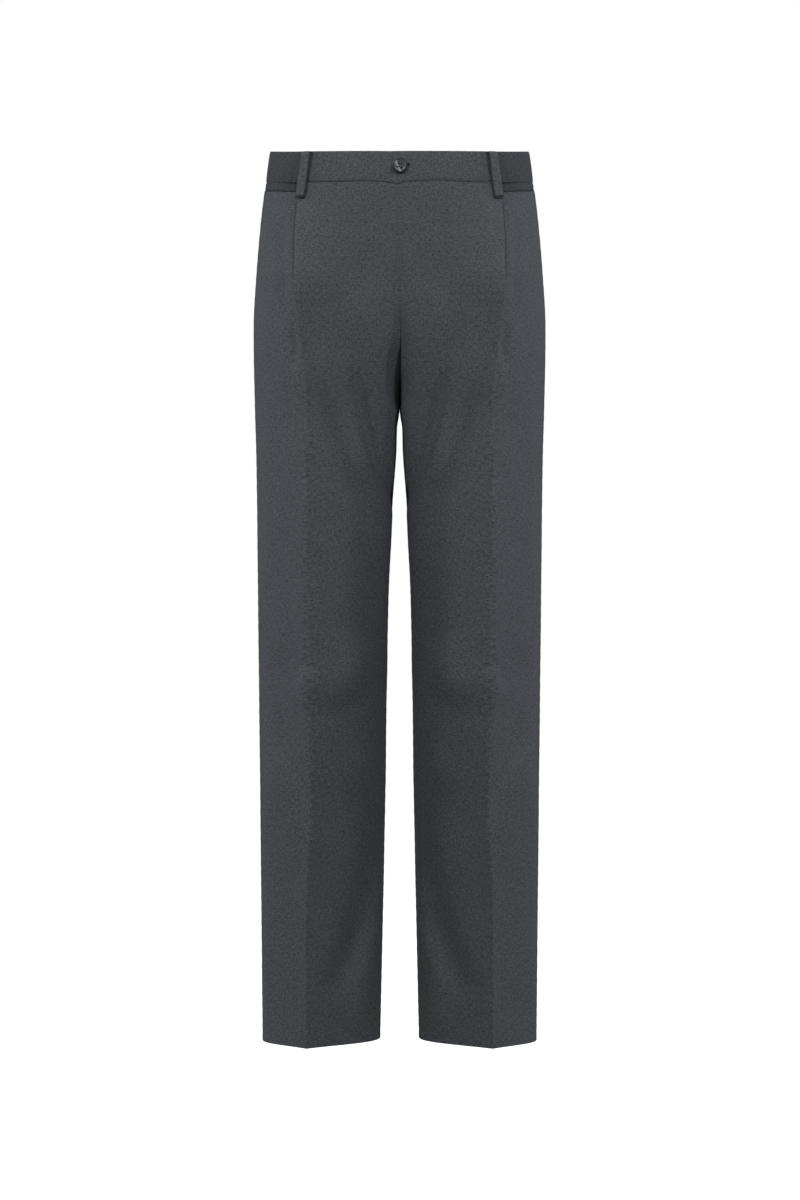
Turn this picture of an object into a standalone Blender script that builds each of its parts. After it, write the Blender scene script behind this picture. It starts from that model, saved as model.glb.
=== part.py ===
"""Pleated dress trousers, filled out as if worn, open at the waist and at both hems.

The origin is the middle of the waist opening. +Z is up, the front faces -Y, and +X is the
wearer's left side.

Every piece of cloth lies on one body surface. A place on it has a level, the height at the side
seam, and a run, the distance round from the centre seam, or from the inseam below the crotch.
An inset moves a place inwards. The tables are in millimetres, everything else is in metres.
"""

import math

import bpy
import numpy as np

MM = 0.001
FRONT, BACK = -1, 1  # which way along Y a half of the body faces
LEFT, RIGHT = 1, -1  # the wearer's left is +X

# Cloth
CLOTH = 1.0 * MM
BAND_CLOTH = 2.0 * MM
SEAM_GAP = 0.3 * MM
LAYER = CLOTH + SEAM_GAP  # one cloth laid under another

# Heights, as levels
WAIST = 0.0
BAND_SEAM = -36.0 * MM
PANEL_TOP = BAND_SEAM - SEAM_GAP
FLY_END = -178.0 * MM
CROTCH = -304.0 * MM
HEM = -1046.6 * MM
WAIST_SLOPE = 0.143  # the back of the waist sits higher than the front
SLOPE_ENDS = -210.0 * MM

# Fly and waistband laps
FLY_LAP = 1.0 * MM
FLY_UNDERLAP = 10.0 * MM
UNDERLAP_ENDS = -170.0 * MM
UNDERLAP_FADE = 24.0 * MM  # how far above its end the underlap starts to narrow
UNDERLAP_BEND = (2.0 * MM, 9.0 * MM)  # where it goes under, and where it is back at the surface
BAND_LAP = 9.0 * MM
BAND_UNDERLAP = 30.0 * MM
BAND_BEND = (10.5 * MM, 20.0 * MM)  # the same two places on the band
SIDE_BAND_INSET = 0.8 * MM

# Pocket directly under the waistband, from the pleat to the side seam
POCKET_DROP_FRONT = 12.0 * MM
POCKET_DROP_SIDE = 9.0 * MM
PLEAT_CLEARANCE = 3.2 * MM  # from the pleat's edge to the nearest cloth outside it
POCKET_START = 4.0 * MM  # from the pleat's edge to the pocket's front end
POCKET_FACING_RINGS = 3  # rings of the panel that the facing reaches down behind
PLEAT_EASE = 42.0 * MM  # where the cloth under the pleat comes back to the surface

# Belt loops
LOOP_WIDTH = 12.0 * MM
LOOP_CLOTH = 1.6 * MM
LOOP_ROOM = 3.0 * MM
LOOP_BOTTOM = -53.0 * MM
LOOP_FOOT = 3.0 * MM
LOOP_DROP = 1.4 * MM  # from the band's top edge to the loop's
FRONT_LOOP_TOP_X = 105.4 * MM
FRONT_LOOP_BOTTOM_X = 112.6 * MM
SIDE_LOOP_PART = 0.25  # part of the way from the side seam to the centre back

# Waist button and its buttonhole
BUTTON_LEVEL = -17.6 * MM
BUTTON_X = 1.0 * MM
BUTTON_RADIUS = 7.5 * MM
BUTTON_THICKNESS = 2.6 * MM
BUTTON_STAND = 0.6 * MM
BUTTON_RIM = 1.6 * MM
BUTTON_DISH = 0.7 * MM
BUTTON_HOLE_RADIUS = 0.8 * MM
BUTTON_HOLE_SPREAD = 1.65 * MM
BUTTON_TURN = math.radians(20)
BUTTON_HOLES = 4
BUTTON_SIDES = 32
BUTTON_HOLE_SIDES = 12
# From the middle of its face to its back: the distance in from its edge as a share of the rim's
# width, the height as a share of its thickness, and the depth as a share of its dish
BUTTON_PROFILE = (
    (1.55, 1.0, 1.0),
    (1.0, 1.0, 0.7),
    (0.6, 1.0, 0.0),
    (0.3, 1.0, 0.0),
    (0.0, 0.7, 0.0),
    (0.0, 0.35, 0.0),
    (1.0, 0.0, 0.0),
)
BUTTONHOLE = (-2.0 * MM, 13.0 * MM)  # its two ends, from the centre front
BUTTONHOLE_HEIGHT = 0.8 * MM

# The side seam, and half the gap between the legs
SIDE_COLUMNS = ("level", "side_x", "side_y", "inner_x", "fullness")
SIDE = (
    (0, 152.6, 0, 0.15, 1.0),
    (-36, 157.2, 0, 0.15, 1.0),
    (-86, 163.4, 0, 0.15, 1.0),
    (-145, 168.5, 0, 0.15, 1.0),
    (-205, 171.4, 0, 0.2, 1.0),
    (-240, 171.2, 0, 0.65, 1.0),
    (-260, 170.9, 0, 0.67, 1.0),
    (-277, 170.6, 0, 0.7, 1.12),
    (-290, 170.4, 0, 0.73, 1.18),
    (-304, 170.2, 0, 0.75, 1.28),
    (-322, 169.8, 0, 3.2, 1.34),
    (-352, 168.8, 0, 4.6, 1.4),
    (-411, 167.7, 0, 8.5, 1.42),
    (-470, 167.0, 0, 11.1, 1.38),
    (-529, 166.5, 0, 13.4, 1.3),
    (-647, 165.3, 0, 15.6, 1.15),
    (-765, 163.9, -1, 17.0, 1.0),
    (-883, 162.6, -3, 19.5, 1.0),
    (-1047, 160.9, -8, 23.0, 1.0),
)

# Each half of the outline runs from the inner point straight out to where it bends, on to the crease
# and then to the side seam. Depths are measured away from the side, and turns in degrees: 0 runs
# across, 90 runs towards the side. A greater fullness makes the cloth's bend to the crease rounder.
HALF_COLUMNS = (
    "level", "inner_depth", "bend_depth", "inner_turn", "crease_x", "crease_depth", "turn_in", "turn_out",
)
FRONT_HALF = (
    (0, 111.0, 111.0, 0, 112.0, 82.0, 36, 36),
    (-36, 112.5, 112.5, 0, 115.5, 83.2, 36, 36),
    (-60, 113.5, 113.5, 0, 116.6, 85.5, 33, 35),
    (-120, 113.5, 113.5, 0, 117.4, 91.5, 22, 36),
    (-180, 107.0, 107.0, -3, 117.0, 96.0, 13, 36),
    (-215, 98.0, 98.0, -20, 115.0, 98.0, 9, 35),
    (-240, 89.0, 89.0, -40, 112.5, 98.5, 4, 34),
    (-260, 79.0, 79.0, -60, 110.3, 98.5, 1, 34),
    (-277, 64.0, 66.0, -76, 108.6, 98.0, -3, 33),
    (-290, 42.0, 54.0, -90, 107.4, 97.3, -6, 33),
    (-304, -15.0, 49.0, -90, 106.3, 96.5, -9, 33),
    (-316, -14.8, 46.0, -90, 105.9, 95.7, -11, 33),
    (-345, -14.0, 39.0, -90, 105.0, 94.0, -15, 32),
    (-400, -12.0, 28.0, -90, 104.2, 91.5, -19, 33),
    (-466, -10.0, 17.0, -90, 104.1, 88.5, -23, 35),
    (-576, -8.0, 0.0, -90, 102.2, 84.5, -28, 38),
    (-680, -8.0, -8.0, -90, 102.4, 81.5, -32, 41),
    (-765, -8.0, -8.0, -90, 102.4, 79.5, -34, 43),
    (-900, -9.0, -9.0, -90, 107.4, 76.0, -36, 45),
    (-1047, -10.6, -10.6, -90, 107.4, 73.0, -39, 46),
)
BACK_HALF = (
    (0, 113.0, 113.0, 0, 80.0, 100.5, 20, 20),
    (-36, 118.0, 118.0, 0, 82.0, 106.0, 19, 19),
    (-100, 126.0, 126.0, 0, 88.0, 119.0, 15, 17),
    (-160, 128.0, 128.0, -2, 92.0, 128.5, 8, 15),
    (-200, 125.0, 125.0, -12, 95.0, 131.5, 3, 16),
    (-225, 119.0, 119.0, -26, 96.5, 130.5, 0, 18),
    (-245, 107.0, 107.0, -42, 98.0, 127.5, -2, 20),
    (-262, 90.0, 90.0, -58, 99.0, 124.0, -4, 22),
    (-277, 71.0, 74.5, -76, 100.0, 120.0, -6, 24),
    (-290, 50.0, 62.0, -90, 100.7, 116.0, -8, 25),
    (-304, 15.0, 60.0, -90, 101.5, 112.0, -10, 26),
    (-316, 14.8, 57.0, -90, 101.9, 108.8, -11, 27),
    (-345, 14.0, 50.0, -90, 103.0, 101.5, -14, 30),
    (-400, 12.0, 41.0, -90, 103.5, 93.0, -18, 32),
    (-466, 10.0, 30.0, -90, 103.5, 86.0, -22, 35),
    (-576, 8.0, 16.0, -90, 102.5, 78.5, -27, 38),
    (-680, 8.0, 8.0, -90, 102.8, 75.0, -30, 41),
    (-765, 8.0, 8.0, -90, 103.5, 74.0, -32, 43),
    (-900, 9.0, 9.0, -90, 106.8, 74.5, -35, 45),
    (-1047, 10.6, 10.6, -90, 107.2, 75.5, -38, 46),
)

# The reverse pleat: how far its layers overlap, and how far the fold is turned, in degrees
PLEAT_COLUMNS = ("level", "overlap", "fold")
PLEAT = (
    (-36, 16.0, 180),
    (-105, 11.0, 180),
    (-150, 5.0, 180),
    (-160, 3.5, 150),
    (-170, 2.4, 120),
    (-180, 1.5, 92),
    (-190, 0.9, 62),
    (-200, 0.4, 34),
    (-215, 0.0, 0),
)
PLEAT_ENDS = -215.0 * MM
PLEAT_CLEAR = -170.0 * MM  # above this level the cloth outside the pleat keeps its full clearance
PLEAT_GAP = 0.6 * MM
FOLD_STEPS = 3

# The levels of the rings that the panels are made from, and the front's extra ones for its pleat
PANEL_LEVELS_MM = (
    -54, -66, -84, -105, -128, -150, -170, -190, -215, -231, -247, -262, -276, -288, -297,
    -304, -312, -324, -350, -395, -455, -530, -610, -690, -780, -870, -960,
)
PLEAT_LEVELS_MM = (-160, -180, -200)
SAMPLES = 16  # points that a stretch of outline is worked out at
STRETCHES = 6  # columns of cloth from the inner edge to the crease, and on to the side
WALL_SHARES = 3.0  # the straight wall between the legs takes this part of them, one in so many
GHOST_STEP = 6.0 * MM  # how far past a seam the cloth's direction is read
SHARPEST_LEAN = 0.7  # how far a wall's corner is mitred: the cosine of the most it may lean
SAME_POINT = 0.01 * MM  # points nearer than this are one point

# The waistband's rings, and its columns from place to place
BAND_LEVELS = (WAIST, BAND_SEAM / 2, BAND_SEAM)
BAND_FRONT_COLUMNS = 8
BAND_BACK_COLUMNS = 15

# Finishes: colour and roughness
WOOL = ((0.062, 0.070, 0.082, 1.0), 0.85)
SHADED_WOOL = ((0.045, 0.052, 0.062, 1.0), 0.9)
HORN = ((0.030, 0.032, 0.036, 1.0), 0.35)
SHARP_ANGLE = math.radians(35)


def clear_scene():
    for obj in list(bpy.data.objects):
        bpy.data.objects.remove(obj)


def smooth_step(share):
    share = min(1.0, max(0.0, share))
    return share * share * (3.0 - 2.0 * share)


def slopes(places, values):
    """Slopes that keep a curve through the values from overshooting them."""
    steps = np.diff(values) / np.diff(places)
    inner = [
        0.0 if before * after <= 0 else 2.0 * before * after / (before + after)
        for before, after in zip(steps[:-1], steps[1:])
    ]
    return np.array([steps[0], *inner, steps[-1]])


def read_table(table, columns, level):
    """The row of a table at any level, by smooth curves through its rows, with lengths in metres."""
    rows = np.array(table, float)[::-1]
    places = rows[:, 0] * MM
    level = min(max(level, places[0]), places[-1])
    index = min(int(np.searchsorted(places, level, side="right")) - 1, len(places) - 2)
    width = places[index + 1] - places[index]
    t = (level - places[index]) / width
    found = {}
    for number, name in enumerate(columns[1:], start=1):
        values = rows[:, number]
        slope = slopes(places, values)
        value = (
            (1 + 2 * t) * (1 - t) ** 2 * values[index]
            + t * (1 - t) ** 2 * width * slope[index]
            + t * t * (3 - 2 * t) * values[index + 1]
            + t * t * (t - 1) * width * slope[index + 1]
        )
        is_angle = name.endswith(("turn", "turn_in", "turn_out", "fold"))
        found[name] = math.radians(value) if is_angle else value * (1.0 if name == "fullness" else MM)
    return found


def direction(turn):
    return np.array([math.cos(turn), -math.sin(turn)])


def stretch(start, start_turn, end, end_turn, fullness=1.0):
    """Points and turns along a curve with given end directions. A fuller one bends more sharply."""
    bend = abs(end_turn - start_turn)
    chord = np.linalg.norm(end - start)
    reach = chord / 3 if bend < 0.01 else chord * (2 / 3) * math.tan(bend / 4) / math.sin(bend / 2)
    reach *= fullness
    first = start + reach * direction(start_turn)
    last = end - reach * direction(end_turn)
    t = np.linspace(0, 1, SAMPLES + 1)[:, None]
    points = (1 - t) ** 3 * start + 3 * t * (1 - t) ** 2 * first + 3 * t * t * (1 - t) * last + t**3 * end
    runs = 3 * (1 - t) ** 2 * (first - start) + 6 * t * (1 - t) * (last - first) + 3 * t * t * (end - last)
    return points, np.arctan2(-runs[:, 1], runs[:, 0])


class Outline:
    """Half the body's outline at one level, front or back, from its inner point to the side seam."""

    def __init__(self, level, facing):
        side = read_table(SIDE, SIDE_COLUMNS, level)
        half = read_table(FRONT_HALF if facing == FRONT else BACK_HALF, HALF_COLUMNS, level)
        inner = np.array([side["inner_x"], half["inner_depth"]])
        bend = np.array([side["inner_x"], max(half["bend_depth"], half["inner_depth"])])
        crease = np.array([half["crease_x"], half["crease_depth"]])
        outer = np.array([side["side_x"], facing * side["side_y"]])
        to_crease = stretch(bend, half["inner_turn"], crease, half["turn_in"], side["fullness"])
        to_side = stretch(crease, half["turn_out"], outer, math.pi / 2)
        self.level = level
        self.facing = facing
        self.points = np.vstack([inner, to_crease[0], to_side[0]])
        self.turns = np.concatenate([to_crease[1][:1], to_crease[1], to_side[1]])
        self.turns[SAMPLES + 1 : SAMPLES + 3] = (half["turn_in"] + half["turn_out"]) / 2
        steps = np.linalg.norm(np.diff(self.points, axis=0), axis=1)
        self.runs = np.concatenate([[0.0], np.cumsum(steps)])
        self.crease = self.runs[SAMPLES + 1]
        self.length = self.runs[-1]

    def run_at(self, share):
        """The run at a share of the way: 0 to 1 is up to the crease, 1 to 2 on to the side."""
        place = 1 + share * SAMPLES + (1 if share > 1 else 0)
        run = float(np.interp(place, np.arange(len(self.runs)), self.runs))
        return run - self.runs[1] * (1 - min(1.0, WALL_SHARES * share))

    def run_at_x(self, x):
        return float(np.interp(x, self.points[:, 0], self.runs))

    def place(self, run, inset=0.0):
        """The point at a run. A run below 0 carries on past the centre, onto the other side."""
        x, depth = (np.interp(abs(run), self.runs, self.points[:, axis]) for axis in (0, 1))
        turn = np.interp(abs(run), self.runs, self.turns)
        slope = WAIST_SLOPE * (1 - smooth_step(self.level / SLOPE_ENDS))
        z = self.level + slope * self.facing * depth
        x -= inset * math.sin(turn)
        depth -= inset * math.cos(turn)
        return np.array([math.copysign(x, run), self.facing * depth, z])

    def across(self, run):
        """The level direction along the outline, towards the side."""
        turn = np.interp(abs(run), self.runs, self.turns)
        return np.array([math.cos(turn), -self.facing * math.sin(turn), 0.0])


def pleat_at(level):
    return read_table(PLEAT, PLEAT_COLUMNS, level)


def pleat_depth(level):
    """How far the cloth on the pleat's outer side lies under its edge."""
    pleat = pleat_at(level)
    bends = (CLOTH + PLEAT_GAP) * (1 - math.cos(pleat["fold"]))
    return bends + pleat["overlap"] * math.sin(pleat["fold"])


def fold_stations(level, edge):
    """Runs and insets through the pleat: over its edge, back under it, and out again."""
    pleat = pleat_at(level)
    fold, overlap, radius = pleat["fold"], pleat["overlap"], (CLOTH + PLEAT_GAP) / 2
    stations = [(edge - overlap, 0.0), (edge - overlap / 2, 0.0), (edge, 0.0)]
    for step in range(1, FOLD_STEPS + 1):
        turned = fold * step / FOLD_STEPS
        stations.append((edge + radius * math.sin(turned), radius * (1 - math.cos(turned))))
    under_run, under_inset = stations[-1]
    for share in (0.5, 1.0):
        along = share * overlap
        stations.append((under_run + along * math.cos(fold), under_inset + along * math.sin(fold)))
    end_run, end_inset = stations[-1]
    for step in range(1, FOLD_STEPS + 1):
        turned = fold * (1 - step / FOLD_STEPS)
        run = end_run + radius * (math.sin(fold) - math.sin(turned))
        stations.append((run, end_inset + radius * (math.cos(turned) - math.cos(fold))))
    lie_flat = smooth_step(2 * fold / math.pi - 1)
    end_run, end_inset = stations[-1]
    for share in (0.5, 1.0):
        stations.append((end_run + lie_flat * share * overlap, end_inset))
    return stations


def under_pleat(line, run):
    """The inset of the cloth from under the pleat's edge out to the side."""
    return pleat_depth(line.level) * (1 - smooth_step((run - line.crease) / PLEAT_EASE))


def fly_stations(level, hand):
    """The centre front edge: the left side laps over the right as far down as the fly opens."""
    if level <= FLY_END:
        return [(SEAM_GAP / 2, 0.0)] * 3
    if hand == LEFT:
        return [(-FLY_LAP, 0.0)] * 3
    bend, risen = UNDERLAP_BEND
    edge = bend - (bend + FLY_UNDERLAP) * smooth_step((level - UNDERLAP_ENDS) / UNDERLAP_FADE)
    return [(edge, LAYER), (bend, LAYER), (risen, 0.0)]


def outer_stations(line):
    """Runs and insets from just outside the pleat, or the crease below it, to the side seam."""
    spread = smooth_step((line.level - PLEAT_ENDS) / (PLEAT_CLEAR - PLEAT_ENDS))
    runs = [line.crease + spread * clear for clear in (PLEAT_CLEARANCE, POCKET_START)]
    runs += [line.run_at(1 + step / STRETCHES) for step in range(1, STRETCHES)]
    runs.append(line.length - SEAM_GAP / 2)
    return [(run, under_pleat(line, run)) for run in runs]


def front_ring(level, hand):
    """One ring of a front panel, with a ghost point past each of its long edges."""
    line, behind = Outline(level, FRONT), Outline(level, BACK)
    stations = fly_stations(level, hand)
    stations += [(line.run_at(step / STRETCHES), 0.0) for step in range(1, STRETCHES)]
    stations += fold_stations(level, line.crease)
    stations += outer_stations(line)
    points = [line.place(run, inset) for run, inset in stations]
    inner_ghost = behind.place(GHOST_STEP) if level <= CROTCH else points[0]
    side_ghost = behind.place(behind.length - GHOST_STEP)
    return [inner_ghost, *points, side_ghost]


def back_ring(level):
    """One ring of a back panel, from the side seam to the centre back or the inseam."""
    line, ahead = Outline(level, BACK), Outline(level, FRONT)
    runs = [line.length - SEAM_GAP / 2]
    runs += [line.run_at(step / STRETCHES) for step in range(2 * STRETCHES - 1, 0, -1)]
    runs.append(SEAM_GAP / 2)
    points = [line.place(run) for run in runs]
    inner_ghost = ahead.place(GHOST_STEP) if level <= CROTCH else points[-1]
    return [ahead.place(ahead.length - GHOST_STEP), *points, inner_ghost]


def mirrored(rings, hand):
    """The rings as they are for the left side, or turned over to the right side."""
    if hand == LEFT:
        return np.array(rings)
    return np.array(rings)[:, ::-1] * np.array([-1.0, 1.0, 1.0])


def skins(rings, thickness, ghosts):
    """Both faces of a cloth wall, from rings of points along its middle, top ring first.

    Points that coincide are one point. Where there are ghosts, the first and last points of each
    ring only give the cloth its direction at the edge.
    """
    count, width = rings.shape[:2]
    flat = rings.reshape(-1, 3)
    grid = np.round(flat / SAME_POINT)
    _, first, index = np.unique(grid, axis=0, return_index=True, return_inverse=True)
    index = index.reshape(count, width)
    points = flat[first]
    totals = np.zeros_like(points)
    quads, directions = [], []
    for row in range(count - 1):
        for column in range(width - 1):
            corners = [
                index[row, column],
                index[row + 1, column],
                index[row + 1, column + 1],
                index[row, column + 1],
            ]
            normal = np.cross(
                points[corners[2]] - points[corners[0]], points[corners[3]] - points[corners[1]]
            )
            size = np.linalg.norm(normal)
            if size < 1e-12:
                continue
            normal /= size
            np.add.at(totals, corners, normal)
            directions.append((corners, normal))
            if ghosts and column in (0, width - 2):
                continue
            quads.append(list(dict.fromkeys(corners)))
    totals /= np.maximum(np.linalg.norm(totals, axis=1, keepdims=True), 1e-9)
    lean = np.ones(len(points))
    for corners, normal in directions:
        for corner in set(corners):
            lean[corner] = min(lean[corner], float(totals[corner] @ normal))
    reach = thickness / 2 / np.maximum(lean, SHARPEST_LEAN)[:, None]
    return points + totals * reach, points - totals * reach, [quad for quad in quads if len(quad) > 2]


def wall_mesh(name, rings, thickness, ghosts=True):
    """A closed wall of cloth: an outer skin, an inner skin and the rim that joins them."""
    outer, inner, quads = skins(rings, thickness, ghosts)
    used = sorted({corner for quad in quads for corner in quad})
    number = {corner: place for place, corner in enumerate(used)}
    quads = [[number[corner] for corner in quad] for quad in quads]
    count = len(used)
    edges = {(quad[i], quad[(i + 1) % len(quad)]) for quad in quads for i in range(len(quad))}
    rim = [
        [start, start + count, end + count, end] for start, end in edges if (end, start) not in edges
    ]
    faces = quads + [[corner + count for corner in reversed(quad)] for quad in quads] + sorted(rim)
    mesh = bpy.data.meshes.new(name)
    mesh.from_pydata(np.vstack([outer[used], inner[used]]).tolist(), [], faces)
    mesh.update()
    return mesh


def add_piece(name, mesh, finish):
    """An object with its own material, shaded smooth except at its sharp edges."""
    colour, roughness = finish
    material = bpy.data.materials.new(name)
    material.use_nodes = True
    shader = material.node_tree.nodes["Principled BSDF"]
    shader.inputs["Base Color"].default_value = colour
    shader.inputs["Roughness"].default_value = roughness
    mesh.materials.append(material)
    mesh.shade_smooth()
    mesh.set_sharp_from_angle(angle=SHARP_ANGLE)
    piece = bpy.data.objects.new(name, mesh)
    bpy.context.scene.collection.objects.link(piece)
    return piece


def side_name(hand):
    return "left" if hand == LEFT else "right"


def panel_levels():
    return [level * MM for level in PANEL_LEVELS_MM] + [HEM]


def front_levels():
    return sorted([*panel_levels(), *(level * MM for level in PLEAT_LEVELS_MM)], reverse=True)


def front_top_ring(hand):
    """The top edge: at the band's seam as far as the pleat, and lower where the pocket opens."""
    ring = front_ring(PANEL_TOP, hand)
    opening = len(ring) - STRETCHES - 2
    for place in range(opening, len(ring)):
        share = min(1.0, (place - opening) / STRETCHES)
        drop = POCKET_DROP_FRONT + (POCKET_DROP_SIDE - POCKET_DROP_FRONT) * share
        ring[place] = front_ring(PANEL_TOP - drop, hand)[place]
    return ring


def make_front_panel(hand):
    name = f"front_panel_{side_name(hand)}"
    rings = [front_top_ring(hand)] + [front_ring(level, hand) for level in front_levels()]
    return add_piece(name, wall_mesh(name, mirrored(rings, hand), CLOTH), WOOL)


def make_back_panel(hand):
    name = f"back_panel_{side_name(hand)}"
    rings = [back_ring(level) for level in [PANEL_TOP, *panel_levels()]]
    return add_piece(name, wall_mesh(name, mirrored(rings, hand), CLOTH), WOOL)


def make_pocket_facing(hand):
    """The cloth that shows above the pocket's mouth and carries on down behind it."""
    name = f"pocket_facing_{side_name(hand)}"
    rings = []
    for level in [PANEL_TOP, *front_levels()[:POCKET_FACING_RINGS]]:
        line = Outline(level, FRONT)
        rings.append([line.place(run, inset + LAYER) for run, inset in outer_stations(line)])
    return add_piece(name, wall_mesh(name, mirrored(rings, hand), CLOTH, ghosts=False), SHADED_WOOL)


def front_loop_x(level):
    return FRONT_LOOP_TOP_X + (FRONT_LOOP_BOTTOM_X - FRONT_LOOP_TOP_X) * level / LOOP_BOTTOM


def make_front_band(hand):
    """From the middle of the front belt loop to the centre, and past it as lap or underlap."""
    name = f"waistband_front_{side_name(hand)}"
    start = -BAND_LAP if hand == LEFT else -BAND_UNDERLAP
    bend, risen = BAND_BEND
    rings = []
    for level in BAND_LEVELS:
        line = Outline(level, FRONT)
        end = line.run_at_x(front_loop_x(level)) - SEAM_GAP / 2
        runs = [start, start / 2, 0.0, bend, (bend + risen) / 2]
        runs += list(np.linspace(risen, end, BAND_FRONT_COLUMNS))
        ring = []
        for run in runs:
            under = 0.0 if hand == LEFT else 1 - smooth_step((run - bend) / (risen - bend))
            ring.append(line.place(run, under * (BAND_CLOTH + SEAM_GAP)))
        rings.append(ring)
    return add_piece(name, wall_mesh(name, mirrored(rings, hand), BAND_CLOTH, ghosts=False), WOOL)


def side_band_inset(share):
    """The side part of the band lies a little under the surface. The share is from back to side."""
    return SIDE_BAND_INSET * smooth_step(2 * share - 1)


def make_back_band(hand):
    """From the middle of the front belt loop, round the side, to the centre back."""
    name = f"waistband_back_{side_name(hand)}"
    rings = []
    for level in BAND_LEVELS:
        front, back = Outline(level, FRONT), Outline(level, BACK)
        start = front.run_at_x(front_loop_x(level)) + SEAM_GAP / 2
        to_side = np.linspace(start, front.length, BAND_FRONT_COLUMNS)
        to_centre = np.linspace(back.length, SEAM_GAP / 2, BAND_BACK_COLUMNS)[1:]
        ring = [front.place(run, SIDE_BAND_INSET) for run in to_side]
        ring += [back.place(run, side_band_inset(run / back.length)) for run in to_centre]
        rings.append(ring)
    return add_piece(name, wall_mesh(name, mirrored(rings, hand), BAND_CLOTH, ghosts=False), SHADED_WOOL)


def strap_mesh(name, path, across, width, thickness):
    """A flat strap along a path of points, square to it and with mitred bends."""
    path = np.array(path)
    legs = np.diff(path, axis=0)
    legs /= np.linalg.norm(legs, axis=1, keepdims=True)
    outs = [np.cross(across, leg) / np.linalg.norm(np.cross(across, leg)) for leg in legs]
    corners = []
    for place, point in enumerate(path):
        near = [outs[max(place - 1, 0)], outs[min(place, len(outs) - 1)]]
        out = (near[0] + near[1]) / np.linalg.norm(near[0] + near[1])
        out *= thickness / 2 / float(out @ near[0])
        wide = across * width / 2
        corners += [point - wide - out, point + wide - out, point + wide + out, point - wide + out]
    faces = [[0, 1, 2, 3]]
    for ring in range(len(path) - 1):
        base = 4 * ring
        for side in range(4):
            after = (side + 1) % 4
            faces.append([base + side, base + 4 + side, base + 4 + after, base + after])
    last = 4 * (len(path) - 1)
    faces.append([last + 3, last + 2, last + 1, last])
    mesh = bpy.data.meshes.new(name)
    mesh.from_pydata([list(corner) for corner in corners], [], faces)
    mesh.update()
    return mesh


def make_belt_loop(name, facing, hand, run_of, band_inset):
    """A staple of folded cloth: its foot on the panel, its top end turned in over the band."""
    band_face = BAND_CLOTH / 2 - band_inset + SEAM_GAP
    on_panel = CLOTH / 2 + SEAM_GAP + LOOP_CLOTH / 2
    clear = BAND_CLOTH / 2 + LOOP_ROOM + LOOP_CLOTH / 2
    top = WAIST - LOOP_DROP - LOOP_CLOTH / 2
    route = [
        (LOOP_BOTTOM, on_panel),
        (LOOP_BOTTOM + LOOP_FOOT, on_panel),
        (LOOP_BOTTOM + 2 * LOOP_FOOT, clear),
        (BAND_SEAM / 2, clear),
        (top, clear),
    ]
    path = []
    for level, out in route:
        line = Outline(level, facing)
        path.append(line.place(run_of(line), -out))
    top_line = Outline(WAIST, facing)
    inwards = top_line.place(run_of(top_line), -band_face) - top_line.place(run_of(top_line), -clear)
    path.append(path[-1] + inwards)
    middle = Outline(BAND_SEAM, facing)
    across = middle.across(run_of(middle))
    path = [point * np.array([hand, 1, 1]) for point in path]
    across = across * np.array([hand, 1, 1])
    across = across if facing * hand == RIGHT else -across
    return add_piece(name, strap_mesh(name, path, across, LOOP_WIDTH, LOOP_CLOTH), WOOL)


def make_belt_loops():
    for hand in (LEFT, RIGHT):
        name = f"belt_loop_front_{side_name(hand)}"
        make_belt_loop(name, FRONT, hand, lambda line: line.run_at_x(front_loop_x(line.level)), 0.0)
        name = f"belt_loop_side_{side_name(hand)}"
        inset = side_band_inset(1 - SIDE_LOOP_PART)
        make_belt_loop(name, BACK, hand, lambda line: line.length * (1 - SIDE_LOOP_PART), inset)
    make_belt_loop("belt_loop_back", BACK, LEFT, lambda line: 0.0, 0.0)


def add_cutter(name, mesh):
    cutter = bpy.data.objects.new(name, mesh)
    bpy.context.scene.collection.objects.link(cutter)
    cutter.hide_render = True
    cutter.display_type = "WIRE"
    return cutter


def cut(piece, cutter):
    modifier = piece.modifiers.new(cutter.name, "BOOLEAN")
    modifier.operation = "DIFFERENCE"
    modifier.object = cutter


def box_mesh(name, low, high):
    x, y, z = zip(low, high)
    corners = [(x[i], y[j], z[k]) for k in (0, 1) for j in (0, 1) for i in (0, 1)]
    faces = [(0, 2, 3, 1), (4, 5, 7, 6), (0, 1, 5, 4), (2, 6, 7, 3), (0, 4, 6, 2), (1, 3, 7, 5)]
    mesh = bpy.data.meshes.new(name)
    mesh.from_pydata(corners, [], faces)
    return mesh


def turned_mesh(name, profile, centre, sides):
    """A round solid about an axis along Y. The profile runs from the front's middle to the back's."""
    points, faces = [], []
    for radius, y in profile:
        for side in range(sides):
            angle = 2 * math.pi * side / sides
            points.append(centre + np.array([radius * math.cos(angle), y, radius * math.sin(angle)]))
    for ring in range(len(profile) - 1):
        here, there = ring * sides, (ring + 1) * sides
        for side in range(sides):
            after = (side + 1) % sides
            faces.append([here + side, there + side, there + after, here + after])
    faces.append(list(range(sides)))
    faces.append([(len(profile) - 1) * sides + side for side in reversed(range(sides))])
    mesh = bpy.data.meshes.new(name)
    mesh.from_pydata([list(point) for point in points], [], faces)
    mesh.update()
    return mesh


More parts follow.
